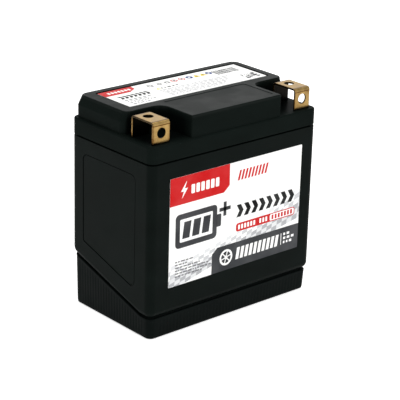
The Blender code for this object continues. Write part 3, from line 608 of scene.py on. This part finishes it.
def lid():
    body = lofted("lid_moulding", skirt_rings())
    boolean(body, lofted("upper_box", upper_box_rings()), "UNION")
    hollow_out(body)
    across = (TOP_LABEL_LOW[0], TOP_LABEL_HIGH[0])
    seat = label_seat(across, (TOP_LABEL_LOW[1], TOP_LABEL_HIGH[1]), TOP_LABEL_MARGIN)
    boolean(body, recess_cutter("label_seat", seat, on_top, TOP_LABEL_RECESS, TOP_SEAT_ROUND))
    panel = rounded_rectangle(*BLOCK_PANEL_HALF, BLOCK_PANEL_R, 6, (0.0, BLOCK_PANEL_Y))
    boolean(body, recess_cutter("block_panel", panel, on_top, BLOCK_PANEL_DEPTH, BLOCK_PANEL_ROUND))
    cut_terminal_slots(body)
    place(settled(body), "battery", "lid_plastic", "lid")


# Terminals


def terminal_profile(low, high):
    """The strip's outline in YZ: foot, front leg, top and back leg, with rounded bends."""
    front, back, top = low[1], high[1], high[2]
    inner = BEND_R - STRIP
    foot_low = FOOT_TOP - STRIP
    leg_end = LEDGE - LID_WALL - BACK_LEG_REACH
    foot_bend = (front + BEND_R, foot_low + BEND_R)
    front_bend = (front + BEND_R, top - BEND_R)
    back_bend = (back - BEND_R, top - BEND_R)
    outer = arc(foot_bend, BEND_R, 270, 180, 10) + arc(front_bend, BEND_R, 180, 90, 10)
    outer += arc(back_bend, BEND_R, 90, 0, 10) + [(back, leg_end), (back - STRIP, leg_end)]
    inside = arc(back_bend, inner, 0, 90, 6) + arc(front_bend, inner, 90, 180, 6)
    inside += arc(foot_bend, inner, 180, 270, 6)
    return [(FOOT_END_Y, foot_low)] + outer + inside + [(FOOT_END_Y, FOOT_TOP)]


def terminal(node):
    low, high = span(node)
    middle = (low[0] + high[0]) / 2
    body = profile_bar(f"{node}_strip", terminal_profile(low, high), low[0], high[0])
    reach = 3 * STRIP
    boolean(body, cylinder("top_hole", (middle, TOP_HOLE_Y, high[2]), HOLE_R, reach))
    boolean(body, cylinder("front_hole", (middle, low[1], FRONT_HOLE_Z), HOLE_R, reach, along_y=True))
    boolean(body, cylinder("foot_hole", (middle, FOOT_HOLE_Y, FOOT_TOP), LUG_HOLE_R, 2 * STRIP))
    bevel(body, STRIP_BEVEL)
    place(settled(body), "battery", "brass", node)


# Printed labels


class Print:
    """A label in one mesh: a thin sheet with flat patches of ink on it, each its own thin solid."""

    def __init__(self, plane, base):
        self.plane = plane
        self.base = base  # height of the sheet's face over the plane
        self.points = []
        self.faces = []
        self.inks = []
        self.names = []

    def solid(self, outline, low, high, ink):
        if ink not in self.names:
            self.names.append(ink)
        first = len(self.points)
        count = len(outline)
        self.points += [self.plane(u, v, low) for u, v in outline]
        self.points += [self.plane(u, v, high) for u, v in outline]
        new = [[first + i for i in range(count)], [first + count + i for i in range(count)][::-1]]
        for i in range(count):
            j = (i + 1) % count
            new.append([first + i, first + j, first + count + j, first + count + i])
        self.faces += new
        self.inks += [self.names.index(ink)] * len(new)

    def patch(self, outline, ink, layer=1):
        self.solid(outline, self.base - INK_SUNK, self.base + layer * INK, ink)

    def bar(self, u, v, width, height, ink, layer=1, slant=0.0, radius=0.0):
        """A bar with its lower left corner at u, v, leaning by slant over its height."""
        if radius:
            centre = (width / 2, height / 2)
            outline = rounded_rectangle(width / 2, height / 2, radius, 4, centre)
        else:
            outline = [(0.0, 0.0), (width, 0.0), (width, height), (0.0, height)]
        self.patch([(u + x + slant * y / height, v + y) for x, y in outline], ink, layer)

    def row(self, count, step, u, v, width, height, ink, layer, slant=0.0, radius=0.0):
        """Equal bars side by side, with a distance of step from one to the next."""
        for number in range(count):
            self.bar(u + step * number, v, width, height, ink, layer, slant, radius)

    def chevron(self, u, v, width, height, point, ink, layer=1):
        """An arrowhead strip that points along U by point."""
        half = height / 2
        outline = [(0.0, 0.0), (width, 0.0), (width + point, half), (width, height), (0.0, height)]
        outline.append((point, half))
        self.patch([(u + x, v + y) for x, y in outline], ink, layer)

    def words(self, u, v, width, height, ink, draw, word, layer=1):
        """A line of print too small to read: bars, each about as long as word says."""
        at = u
        while at < u + width - word[0]:
            length = min(draw.uniform(*word), u + width - at)
            self.bar(at, v, length, height, ink, layer)
            at += length + 0.8 * height

    def disc(self, u, v, radius, ink, layer=1):
        self.patch(arc((u, v), radius, 0, 360, 24)[:-1], ink, layer)

    def finished(self, name):
        thing = new_object(name, self.points, self.faces)
        for ink in self.names:
            thing.data.materials.append(MATERIALS[ink])
        thing.data.polygons.foreach_set("material_index", self.inks)
        return thing


def stroke_box(art, u, v, width, height, stroke, ink, ground, layer, radius):
    """An outlined box: a patch of ink with a patch of the ground colour on it."""
    art.bar(u, v, width, height, ink, layer, radius=radius)
    inner = (width - 2 * stroke, height - 2 * stroke)
    art.bar(u + stroke, v + stroke, *inner, ground, layer + 1, radius=max(0.2, radius - stroke * 0.6))


def chequer_sweep(art, left, right, low):
    """Pale chequered cloth that widens and rises from the lower left corner to the right edge."""
    inks = ("ink_pale", "ink_pale", "ink_pale", "ink_mist", "ink_mist", "ink_faint")  # from below
    columns, rows = 26, len(inks)

    def corner(i, j):
        s = i / columns
        bottom = 29.0 + 30.0 * s**0.8
        top = 50.0 + 14.0 * s + 20.0 * s * s
        lean = 2.5 * (j / rows - 0.5)
        u = left - 4.0 + (right - left + 8.0) * s + lean
        return (min(max(u, left), right), max(bottom + (top - bottom) * j / rows, low))

    for i in range(columns):
        for j in range(rows):
            cell = [corner(i, j), corner(i + 1, j), corner(i + 1, j + 1), corner(i, j + 1)]
            if min(cell[1][0] - cell[0][0], cell[2][1] - cell[1][1]) < THINNEST_CELL:
                continue
            if (i + j) % 2 == 0:
                art.patch(cell, inks[j])
            elif inks[j] == "ink_pale":
                art.patch(cell, "ink_faint")


def wheel_sign(art, u, v, radius, ink, ground, layer):
    """A plain road wheel: tyre, rim, hub and spokes."""
    art.disc(u, v, radius, ink, layer)
    art.disc(u, v, radius * 0.74, ground, layer + 1)
    art.disc(u, v, radius * 0.26, ink, layer + 2)
    for number in range(6):
        a = math.radians(60 * number + 15)
        along = Vector((math.cos(a), math.sin(a)))
        across = Vector((-along.y, along.x)) * radius * 0.07
        ends = (along * radius * 0.2, along * radius * 0.8)
        outline = [ends[0] - across, ends[1] - across, ends[1] + across, ends[0] + across]
        art.patch([(u + p.x, v + p.y) for p in outline], ink, layer + 2)


def red_tab(art, left, top, cut):
    """A red block in the label's upper left corner, whose right side runs through the points of cut."""
    outline = [(left, cut[0][1]), *cut] + arc((left + LABEL_R, top - LABEL_R), LABEL_R, 90, 180, 4)
    art.patch(outline, "ink_red", 2)


def bolt_sign(art, u, v):
    """A lightning bolt with its lower tip at u, v."""
    outline = [(0.0, 0.0), (5.0, 7.0), (2.4, 7.0), (4.2, 12.2), (-1.0, 5.0), (1.6, 5.0)]
    art.patch([(u + x, v + y) for x, y in outline], "label_white", 3)


def battery_sign(art, u, v):
    """A battery's outline with three charge bars, and a plus beside its cap."""
    stroke_box(art, u, v, 36.8, 24.4, 4.0, "ink_slate", "label_white", 2, radius=3.2)
    art.bar(u + 36.4, v + 7.6, 4.2, 9.2, "ink_slate", 2, radius=1.0)
    art.row(3, 8.6, u + 6.0, v + 6.2, 6.4, 12.0, "ink_slate", 4, slant=1.6)
    art.bar(u + 42.5, v + 14.3, 2.7, 10.2, "ink_slate", 2)
    art.bar(u + 38.8, v + 18.0, 10.2, 2.7, "ink_slate", 2)


def two_part_strip(art, u, v):
    """A rounded red strip whose right part is only outlined, with short bars along both parts."""
    art.bar(u, v, 55.8, 6.2, "ink_red", 2, radius=1.9)
    art.bar(u + 31.8, v + 0.7, 23.3, 4.8, "label_white", 3, radius=1.3)
    for count, start in ((6, 2.0), (3, 21.95)):
        art.row(count, 2.85, u + start, v + 1.4, 1.7, 3.4, "label_white", 3, radius=0.3)
    art.row(7, 3.0, u + 33.6, v + 1.4, 1.8, 3.4, "ink_red", 4, radius=0.3)


def dark_band(art, right, low, draw):
    """The band along the bottom, with a wheel, slanting bars, a rule and small print."""
    corner = arc((right - LABEL_R, low + LABEL_R), LABEL_R, 270, 360, 4)
    art.patch([(-20.5, low), *corner, (right, 54.0), (-15.8, 54.0), (-20.4, 50.0)], "ink_band", 2)
    wheel_sign(art, -7.4, 44.9, 5.9, "label_white", "ink_band", 3)
    art.row(10, 4.1, 1.4, 41.0, 2.7, 8.6, "label_white", 3, slant=1.4)
    art.bar(44.4, 41.2, 0.6, 8.6, "label_white", 3)
    for v, width in ((47.9, 6.6), (44.8, 10.6), (41.7, 8.2)):
        art.words(46.9, v, width, 1.8, "label_white", draw, (1.4, 3.4), 3)


def front_label():
    left, _, low = FRONT_LABEL_LOW
    right, _, top = FRONT_LABEL_HIGH
    draw = random.Random(3)
    art = Print(on_front, SHEET_PROUD)
    sheet = label_seat((left, right), (low, top), 0.0)
    art.solid(sheet, FRONT_SHEET_BACK, SHEET_PROUD, "label_white")
    chequer_sweep(art, left, right, low)

    # Top row: a tab with a bolt and bars, and slanting strokes beside it
    red_tab(art, left, top, [(-11.3, 93.3), (-6.2, 97.6), (-6.4, top)])
    bolt_sign(art, -48.6, 97.2)
    art.row(6, 4.3, -40.4, 99.2, 3.1, 6.4, "label_white", 3, radius=0.7)
    art.row(9, 3.1, 1.0, 99.2, 1.8, 7.2, "ink_red", 2, slant=1.9)

    # Middle: a battery at the left, chevrons and a strip at the right
    battery_sign(art, -53.6, 62.0)
    for number in range(8):
        art.chevron(1.0 + 6.9 * number, 72.2, 3.9, 9.2, 2.6, "ink_black", 2)
    two_part_strip(art, 1.0, 61.5)

    # Bottom: the band, and small print at the left of it
    dark_band(art, right, low, draw)
    for number, width in enumerate((17.0, 10.5, 22.0, 30.0, 32.0, 24.0)):
        art.words(-53.3, 52.0 - 2.1 * number, width, 0.95, "ink_grey", draw, (1.0, 3.8), 3)
    place(art.finished("front_label_print"), "battery", "label_print", "front_label")


def sign_row(art, middle):
    """Small plain signs near the back edge: boxes, rings, discs and triangles."""
    for u, size in ((-19.6, 4.4), (-11.4, 3.6), (-4.4, 4.0)):
        corner = (u - size / 2, middle - 0.3 - size / 2)
        stroke_box(art, *corner, size, size, 1.1, "ink_grey", "label_white", 1, radius=0.7)
    for u, ink in ((2.2, "ink_red"), (9.2, "ink_red"), (16.1, "ink_blue"), (34.3, "ink_blue")):
        is_ring = ink == "ink_red"
        art.disc(u, middle, 2.7, ink)
        if is_ring:
            art.disc(u, middle, 1.8, "label_white", 2)
        art.bar(u - 0.9, middle - 0.9, 1.8, 1.8, "ink_slate" if is_ring else "label_white", 3)
    for u in (22.4, 28.4):
        art.patch([(u - 3.0, middle - 2.6), (u + 3.0, middle - 2.6), (u, middle + 2.6)], "ink_yellow")
        art.bar(u - 0.5, middle - 1.9, 1.0, 2.4, "ink_slate", 2)


def code_marks(art, draw):
    """A striped code and a square one at the right end. They hold nothing."""
    at = 37.6
    while at < 57.0:
        width = draw.choice((0.7, 0.95, 1.3))
        art.bar(at, 19.6, width, 9.2, "ink_slate")
        at += width + draw.choice((0.5, 0.65, 0.9))
    cell = 1.05
    for column in range(12):
        for row in range(9):
            if draw.random() < 0.6:
                art.bar(48.8 + cell * column, 1.0 + cell * row, cell, cell, "ink_slate")


def top_label():
    left, low, _ = TOP_LABEL_LOW
    right, high, _ = TOP_LABEL_HIGH
    draw = random.Random(5)
    art = Print(on_top, -TOP_LABEL_RECESS + TOP_SHEET)
    sheet = label_seat((left, right), (low, high), 0.0)
    art.solid(sheet, -TOP_LABEL_RECESS + SHEET_GAP, art.base, "label_white")

    # Left end: a tab with bars, chevrons and small print
    red_tab(art, left, high, [(-39.3, 23.6), (-32.2, 28.0), (-31.4, high)])
    art.row(7, 2.9, -55.0, 27.0, 1.9, 3.2, "label_white", 3, radius=0.4)
    for number in range(7):
        art.chevron(-54.6 + 3.7 * number, 13.0, 2.3, 6.2, 1.3, "ink_black")
    for v, width in ((9.4, 24.0), (6.6, 20.0), (3.6, 22.0), (0.4, 15.0)):
        art.words(-54.6, v, width, 1.3, "ink_grey", draw, (1.0, 3.4))

    # Middle: signs, a triangle with a heading, and lines of small print
    sign_row(art, 26.9)
    art.patch([(-21.0, 16.8), (-17.4, 16.8), (-19.2, 20.0)], "ink_yellow")
    art.words(-16.6, 17.2, 15.6, 2.0, "ink_slate", draw, (1.2, 3.0))
    for number in range(6):
        line = (-20.8, 13.8 - 2.5 * number, 64.0 - 3.0 * number, 1.15)
        art.words(*line, "ink_grey_light", draw, (1.5, 6.0))
    code_marks(art, draw)
    place(art.finished("top_label_print"), "battery", "label_print", "top_label")


# Materials


def srgb(*colour):
    """A colour given as it looks on screen, from 0 to 255, made linear."""
    shares = [value / 255 for value in colour]
    return tuple(v / 12.92 if v <= 0.04045 else ((v + 0.055) / 1.055) ** 2.4 for v in shares)


class Look:
    """A Principled material and the nodes that vary it over the surface."""

    def __init__(self, name, metallic=0.0, specular=0.5):
        self.material = bpy.data.materials.new(name)
        self.material.use_nodes = True
        self.nodes = self.material.node_tree.nodes
        self.links = self.material.node_tree.links
        self.shader = self.nodes["Principled BSDF"]
        self.shader.inputs["Metallic"].default_value = metallic
        self.shader.inputs["Specular IOR Level"].default_value = specular
        self.place = self.add("TexCoord", "Object", {})
        self.normal = None

    def add(self, kind, output, inputs, **settings):
        """A new node's output; its inputs are set to numbers or linked to other outputs."""
        node = self.nodes.new(f"ShaderNode{kind}")
        for name, value in settings.items():
            setattr(node, name, value)
        for name, value in inputs.items():
            if isinstance(value, bpy.types.NodeSocket):
                self.links.new(value, node.inputs[name])
            else:
                node.inputs[name].default_value = value
        return node.outputs[output]

    def noise(self, per_metre, detail, stretch=(1.0, 1.0, 1.0), shift=0.0):
        mapping = {"Vector": self.place, "Scale": stretch, "Location": (shift, shift, shift)}
        place = self.add("Mapping", "Vector", mapping)
        return self.add("TexNoise", "Fac", {"Vector": place, "Scale": per_metre, "Detail": detail})

    def cells(self, per_metre):
        return self.add("TexVoronoi", "Distance", {"Vector": self.place, "Scale": per_metre})

    def spread(self, value, low, high, start=0.3, end=0.7):
        """The value's range from start to end laid out from low to high."""
        ranges = {"From Min": start, "From Max": end, "To Min": low, "To Max": high}
        return self.add("MapRange", "Result", {"Value": value, **ranges})

    def combine(self, operation, first, *others):
        """One operation over several outputs or numbers, from the first on."""
        for other in others:
            first = self.add("Math", "Value", {0: first, 1: other}, operation=operation)
        return first

    def absolute(self, value):
        return self.combine("ABSOLUTE", value, 0.0)

    def ramp(self, value, low, high, start=0.3, end=0.7):
        node = self.nodes.new("ShaderNodeValToRGB")
        node.color_ramp.elements[0].position = start
        node.color_ramp.elements[0].color = (*low, 1.0)
        node.color_ramp.elements[1].position = end
        node.color_ramp.elements[1].color = (*high, 1.0)
        self.links.new(value, node.inputs["Fac"])
        return node.outputs["Color"]

    def colour(self, output):
        self.links.new(output, self.shader.inputs["Base Color"])

    def roughness(self, output):
        self.links.new(output, self.shader.inputs["Roughness"])

    def bump(self, height, distance):
        """Adds a layer of relief; distance is in millimetres."""
        inputs = {"Distance": distance * MM, "Strength": 1.0, "Height": height}
        if self.normal:
            inputs["Normal"] = self.normal
        self.normal = self.add("Bump", "Normal", inputs)
        self.links.new(self.normal, self.shader.inputs["Normal"])

    def axis(self, letter):
        return self.add("SeparateXYZ", letter, {"Vector": self.place})

    def line(self, letter, at, half_width):
        """1 on the plane where the coordinate is at, falling to 0 half_width away, in millimetres."""
        distance = self.absolute(self.combine("SUBTRACT", self.axis(letter), at * MM))
        return self.spread(distance, 1.0, 0.0, 0.0, half_width * MM)

    def below(self, letter, at, soft):
        """1 below the plane where the coordinate is at, falling to 0 over soft; above does the opposite."""
        return self.spread(self.axis(letter), 1.0, 0.0, at * MM, (at + soft) * MM)

    def above(self, letter, at, soft):
        return self.spread(self.axis(letter), 0.0, 1.0, (at - soft) * MM, at * MM)

    def bore(self, across, letter, at):
        """1 on the wall of a terminal's hole; across is the distance from its middle along X."""
        along = self.combine("SUBTRACT", self.axis(letter), at * MM)
        squares = [self.combine("MULTIPLY", side, side) for side in (across, along)]
        reach = self.combine("SQRT", self.combine("ADD", *squares), 0.0)
        return self.spread(reach, 1.0, 0.0, (HOLE_R + 0.04) * MM, (HOLE_R + 0.16) * MM)

    def painted_pocket_shade(self):
        """Painted shade: most on the walls and floor of the lid's two terminal pockets, fading towards their
        rims.
        """
        aside = self.absolute(self.axis("X"))
        share = self.spread(aside, 0.0, 0.8, (BLOCK_HALF_X - 0.6) * MM, (BLOCK_HALF_X - 0.1) * MM)
        outer = self.spread(aside, 1.0, 0.0, (BOX_HALF_X - 4.0) * MM, (BOX_HALF_X + 0.4) * MM)
        along = (self.above("Y", POCKET_BACK - 22.0, 9.0), self.below("Y", POCKET_BACK + 0.3, 0.6))
        upright = (self.above("Z", LEDGE, 0.6), self.below("Z", HEIGHT - 5.0, 4.2))
        return self.combine("MULTIPLY", share, outer, *along, *upright)

    def mixed(self, first, second, share):
        """A colour output turned into the colour second by share."""
        inputs = {"Factor": share, "A": first, "B": (*second, 1.0)}
        return self.add("Mix", "Result", inputs, data_type="RGBA")


def moulded_plastic(name, dark, light, rough, specular, grain, deck_specular=None):
    """Black moulded plastic: faint flow marks, a fine etched grain and lightly rubbed patches.

    deck_specular is the reflectance of the lid's flat top, which is smoother than its walls; when it is
    given, the terminal pockets also get painted shade.
    """
    look = Look(name, specular=specular)
    if deck_specular:
        edge = ((HEIGHT - 2.2) * MM, (HEIGHT - 0.8) * MM)
        deck = look.spread(look.axis("Z"), specular, deck_specular, *edge)
        look.links.new(deck, look.shader.inputs["Specular IOR Level"])
    flow = look.noise(26.0, 4.0, (1.0, 1.0, 2.2))
    tone = look.ramp(flow, srgb(*dark), srgb(*light))
    # painted shade: the lid's terminal pockets are darkened to near black
    look.colour(look.mixed(tone, POCKET_PAINTED_SHADE, look.painted_pocket_shade()) if deck_specular else tone)
    fine = look.noise(1500.0, 2.0)
    rubbed = look.spread(look.noise(64.0, 5.0, shift=0.4), -0.03, 0.03, 0.42, 0.6)
    look.roughness(look.combine("ADD", look.spread(flow, *rough), rubbed))
    look.bump(fine, grain)
    look.bump(look.cells(1100.0), grain * 0.6)
    look.bump(look.noise(38.0, 2.0), 0.02)
    return look.material


def printed(name, colour):
    """Printed film: nearly even colour, a soft gloss and the faint orange peel of the film."""
    look = Look(name, specular=0.05)
    colour = srgb(*colour)
    paler = tuple(v + (1.0 - v) * 0.03 for v in colour)
    look.colour(look.ramp(look.noise(60.0, 3.0), tuple(v * 0.94 for v in colour), paler))
    look.roughness(look.spread(look.noise(140.0, 4.0), 0.30, 0.42))
    look.bump(look.noise(420.0, 2.0), 0.006)
    return look.material


def brass_tone_and_painted_light(look, brushed, cloud, sideways, half_width):
    """How bright the brass is: brushing and cloudy tone, less painted shade in the creases, along the side
    edges and on the front, plus a painted highlight along the top bends.
    """
    front, back, top = TERMINAL_LOW[1], TERMINAL_HIGH[1], TERMINAL_HIGH[2]
    mixed = look.combine("ADD", look.combine("MULTIPLY", cloud, 0.6), look.combine("MULTIPLY", brushed, 0.4))
    # painted shade: darker lines along the bends and the strip's side edges
    bends = [look.line("Z", top - BEND_R - 0.35, 0.5)]
    bends += [look.line("Y", y, 0.6) for y in (front + BEND_R - 0.1, back - BEND_R)]
    edges = look.spread(sideways, 0.0, 0.5, (half_width - 0.9) * MM, half_width * MM)
    creases = look.combine("MULTIPLY", look.combine("MAXIMUM", *bends, edges), 0.5)
    # painted highlight along the top bends
    painted_bend_highlight = look.combine("MULTIPLY", look.line("Z", top - 1.45, 0.55), 0.5)
    # painted shade on the front face
    painted_front_shade = look.combine("MULTIPLY", look.below("Y", front + 0.2, 0.3), 0.10)
    bright = look.combine("ADD", look.combine("SUBTRACT", mixed, creases), painted_bend_highlight)
    return look.combine("SUBTRACT", bright, painted_front_shade)


def brass_painted_shade_and_cut_edges(look, across, sideways, half_width):
    """Painted shade that makes the brass nearly black on its inner faces, the walls of its holes and its
    foot; its cut edges along the top are darkened too.
    """
    front, back, top = TERMINAL_LOW[1], TERMINAL_HIGH[1], TERMINAL_HIGH[2]
    inside = look.combine(
        "MULTIPLY", look.below("Z", top - STRIP, 0.15), look.above("Y", front + STRIP, 0.15),
        look.below("Y", back - STRIP, 0.15))
    top_bore = look.bore(across, "Y", TOP_HOLE_Y)
    front_bore = look.combine(
        "MULTIPLY", look.bore(across, "Z", FRONT_HOLE_Z), look.below("Y", front + STRIP, 0.2))
    cut = look.spread(sideways, 0.0, 0.85, (half_width - 0.1) * MM, (half_width - 0.02) * MM)
    cut = look.combine("MULTIPLY", cut, look.above("Z", top - STRIP - 0.6, 0.5))
    foot = look.below("Z", LEDGE + 0.2, 1.6)
    return look.combine("MAXIMUM", inside, top_bore, front_bore, foot, cut)


def brass(name):
    """Bent brass strip: fine brushing across it, cloudy tarnish, painted shade in its creases and on its
    inner faces, and a painted highlight along its top bends.
    """
    look = Look(name, metallic=1.0)
    cloud = look.noise(210.0, 5.0)
    brushed = look.noise(520.0, 3.0, (14.0, 1.0, 1.0))
    across = look.combine("SUBTRACT", look.absolute(look.axis("X")), MIDDLE_OF_TERMINAL * MM)
    sideways = look.absolute(across)
    half_width = (TERMINAL_HIGH[0] - TERMINAL_LOW[0]) / 2
    tone_and_painted_light = brass_tone_and_painted_light(look, brushed, cloud, sideways, half_width)
    tone = look.ramp(tone_and_painted_light, BRASS_DARK, BRASS_LIGHT, 0.16, 0.6)
    # painted shade: inner faces, hole walls and foot turn near black
    look.colour(look.mixed(tone, BRASS_PAINTED_SHADE, brass_painted_shade_and_cut_edges(look, across, sideways, half_width)))
    look.roughness(look.spread(cloud, 0.26, 0.42))
    look.bump(brushed, 0.010)
    look.bump(look.noise(900.0, 2.0), 0.006)
    return look.material


METALS = ("painted_metal", "brushed_steel", "chrome", "aluminium", "cast_iron", "brass")


def inner_finish(entry):
    """The finish of a hidden sub-part, from its slot in the record: mottled, with a fine grain."""
    is_metal = entry["class"] in METALS and entry["slot"] != "cell_sleeve"
    look = Look(f"inner_{entry['slot']}", metallic=1.0 if is_metal else 0.0)
    base = entry["base_color"][:3]
    clouds = look.noise(70.0, 4.0, (1.0, 1.0, 3.0) if is_metal else (1.0, 1.0, 1.0))
    look.colour(look.ramp(clouds, tuple(v * 0.78 for v in base), tuple(min(1.0, v * 1.18) for v in base)))
    rough = {"satin": (0.28, 0.42), "matte": (0.60, 0.80)}.get(entry["finish"], (0.4, 0.6))
    look.roughness(look.spread(look.noise(160.0, 4.0), *rough))
    look.bump(look.noise(900.0, 3.0), 0.02)
    return look.material


BRASS_DARK = srgb(92, 64, 28)
BRASS_LIGHT = srgb(186, 154, 96)
# near black of the painted shade on the brass, also used on its cut edges
BRASS_PAINTED_SHADE = srgb(12, 9, 5)
# near black of the painted shade in the lid's terminal pockets
POCKET_PAINTED_SHADE = srgb(2, 3, 3)
PLASTICS = {  # darkest and lightest colour, roughness, reflectance and depth of the grain
    "case_plastic": ((9, 14, 12), (13, 19, 17), (0.38, 0.46), 0.022, 0.010),
    "lid_plastic": ((13, 18, 16), (17, 23, 21), (0.34, 0.42), 0.008, 0.008, 0.042),
    "spacer_plastic": ((8, 12, 11), (12, 17, 16), (0.42, 0.52), 0.02, 0.014),
}
INKS = {
    "label_white": (250, 250, 248),
    "ink_red": (196, 5, 9),
    "ink_slate": (52, 53, 56),
    "ink_band": (52, 54, 57),
    "ink_black": (7, 7, 7),
    "ink_pale": (176, 177, 180),
    "ink_mist": (202, 203, 205),
    "ink_faint": (224, 225, 226),
    "ink_grey": (112, 112, 115),
    "ink_grey_light": (168, 168, 171),
    "ink_blue": (18, 52, 120),
    "ink_yellow": (232, 200, 40),
}
MATERIALS = {name: moulded_plastic(name, *values) for name, values in PLASTICS.items()}
MATERIALS["brass"] = brass("brass")
MATERIALS.update({name: printed(name, colour) for name, colour in INKS.items()})


def paint_inner_nodes():
    """Gives each CAD node that stays in the scene the finish of its slot."""
    finishes = {entry["slot"]: inner_finish(entry) for entry in frame["record"]["materials"]}
    for entry in frame["record"]["subparts"]:
        node = frame["nodes"][entry["node"]]
        if not node.hide_render:
            node.data.materials.clear()
            node.data.materials.append(finishes[entry["material_slot"]])


# Studio: floor, light and camera

AZIMUTH = -41.436
ELEVATION = 20.808
DISTANCE = 1118.0
ROLL = 1.597
LENS = 143.0
AIM = (4.28, -2.7)  # how far the camera stands to the right of, and above, its line to the middle
AIM_HEIGHT = 75.0
SENSOR = 36.0
FLOOR_HALF = 4000.0
FLOOR_THICK = 20.0
FLOOR_DROP = 0.2  # the floor lies this far under the spacer's foot


def camera_axes(azimuth, elevation):
    """The camera's backward, right and upward directions."""
    a, e = math.radians(azimuth), math.radians(elevation)
    back = Vector((math.sin(a) * math.cos(e), -math.cos(a) * math.cos(e), math.sin(e)))
    right = Vector((math.cos(a), math.sin(a), 0.0))
    return back, right, back.cross(right)


def add_camera():
    back, right, up = camera_axes(AZIMUTH, ELEVATION)
    middle = Vector((0.0, 0.0, AIM_HEIGHT))
    spot = middle + back * DISTANCE
    turn = math.radians(ROLL)
    right, up = right * math.cos(turn) + up * math.sin(turn), up * math.cos(turn) - right * math.sin(turn)
    spot += right * AIM[0] + up * AIM[1]
    data = bpy.data.cameras.new("camera")
    data.lens = LENS
    data.sensor_width = SENSOR
    data.clip_start = 0.01
    data.clip_end = 50.0
    camera = bpy.data.objects.new("camera", data)
    axes = Matrix((right, up, back)).transposed().to_4x4()
    camera.matrix_world = Matrix.Translation(spot * MM) @ axes
    bpy.context.scene.collection.objects.link(camera)
    bpy.context.scene.camera = camera


def softbox(name, azimuth, elevation, distance, size, power):
    """A large soft light that faces the battery from a direction; distances are in metres."""
    back, _, _ = camera_axes(azimuth, elevation)
    data = bpy.data.lights.new(name, "AREA")
    data.shape = "RECTANGLE"
    data.size, data.size_y = size
    data.energy = power
    lamp = bpy.data.objects.new(name, data)
    lamp.location = back * distance + Vector((0.0, 0.0, AIM_HEIGHT * MM))
    lamp.rotation_euler = back.to_track_quat("Z", "Y").to_euler()
    lamp.visible_camera = False
    bpy.context.scene.collection.objects.link(lamp)


def add_floor():
    look = Look("floor_paper", specular=0.1)
    look.shader.inputs["Emission Color"].default_value = (1.0, 1.0, 1.0, 1.0)
    look.shader.inputs["Emission Strength"].default_value = 0.5
    look.colour(look.ramp(look.noise(6.0, 3.0), srgb(243, 243, 242), srgb(247, 247, 247)))
    look.roughness(look.spread(look.noise(40.0, 3.0), 0.8, 0.95))
    outline = [(x * FLOOR_HALF, y * FLOOR_HALF) for x, y in ((-1, -1), (1, -1), (1, 1), (-1, 1))]
    floor = prism("studio_floor", outline, -FLOOR_DROP - FLOOR_THICK, -FLOOR_DROP)
    floor.data.materials.append(look.material)
    floor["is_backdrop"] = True


def add_light():
    world = bpy.data.worlds.new("studio")
    world.use_nodes = True
    background = world.node_tree.nodes["Background"]
    background.inputs["Color"].default_value = (1.0, 1.0, 1.0, 1.0)
    background.inputs["Strength"].default_value = 0.42
    bpy.context.scene.world = world
    softbox("overhead", 0.0, 90.0, 1.8, (2.2, 2.2), 30.0)
    softbox("behind", AZIMUTH + 180.0, 24.0, 1.7, (2.0, 0.9), 5.0)
    softbox("key", AZIMUTH - 35.0, 38.0, 1.7, (1.0, 1.0), 3.0)
    softbox("fill", 8.0, 34.0, 1.7, (1.2, 0.8), 6.0)
    bpy.context.scene.view_settings.view_transform = "Standard"


# Build


def build():
    spacer()
    case()
    lid()
    for node in TERMINALS:
        terminal(node)
    front_label()
    top_label()
    paint_inner_nodes()
    add_floor()
    add_light()
    add_camera()


build()
[[list(corner) for corner in box_] for box_ in (CAD_BOUNDS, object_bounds())]
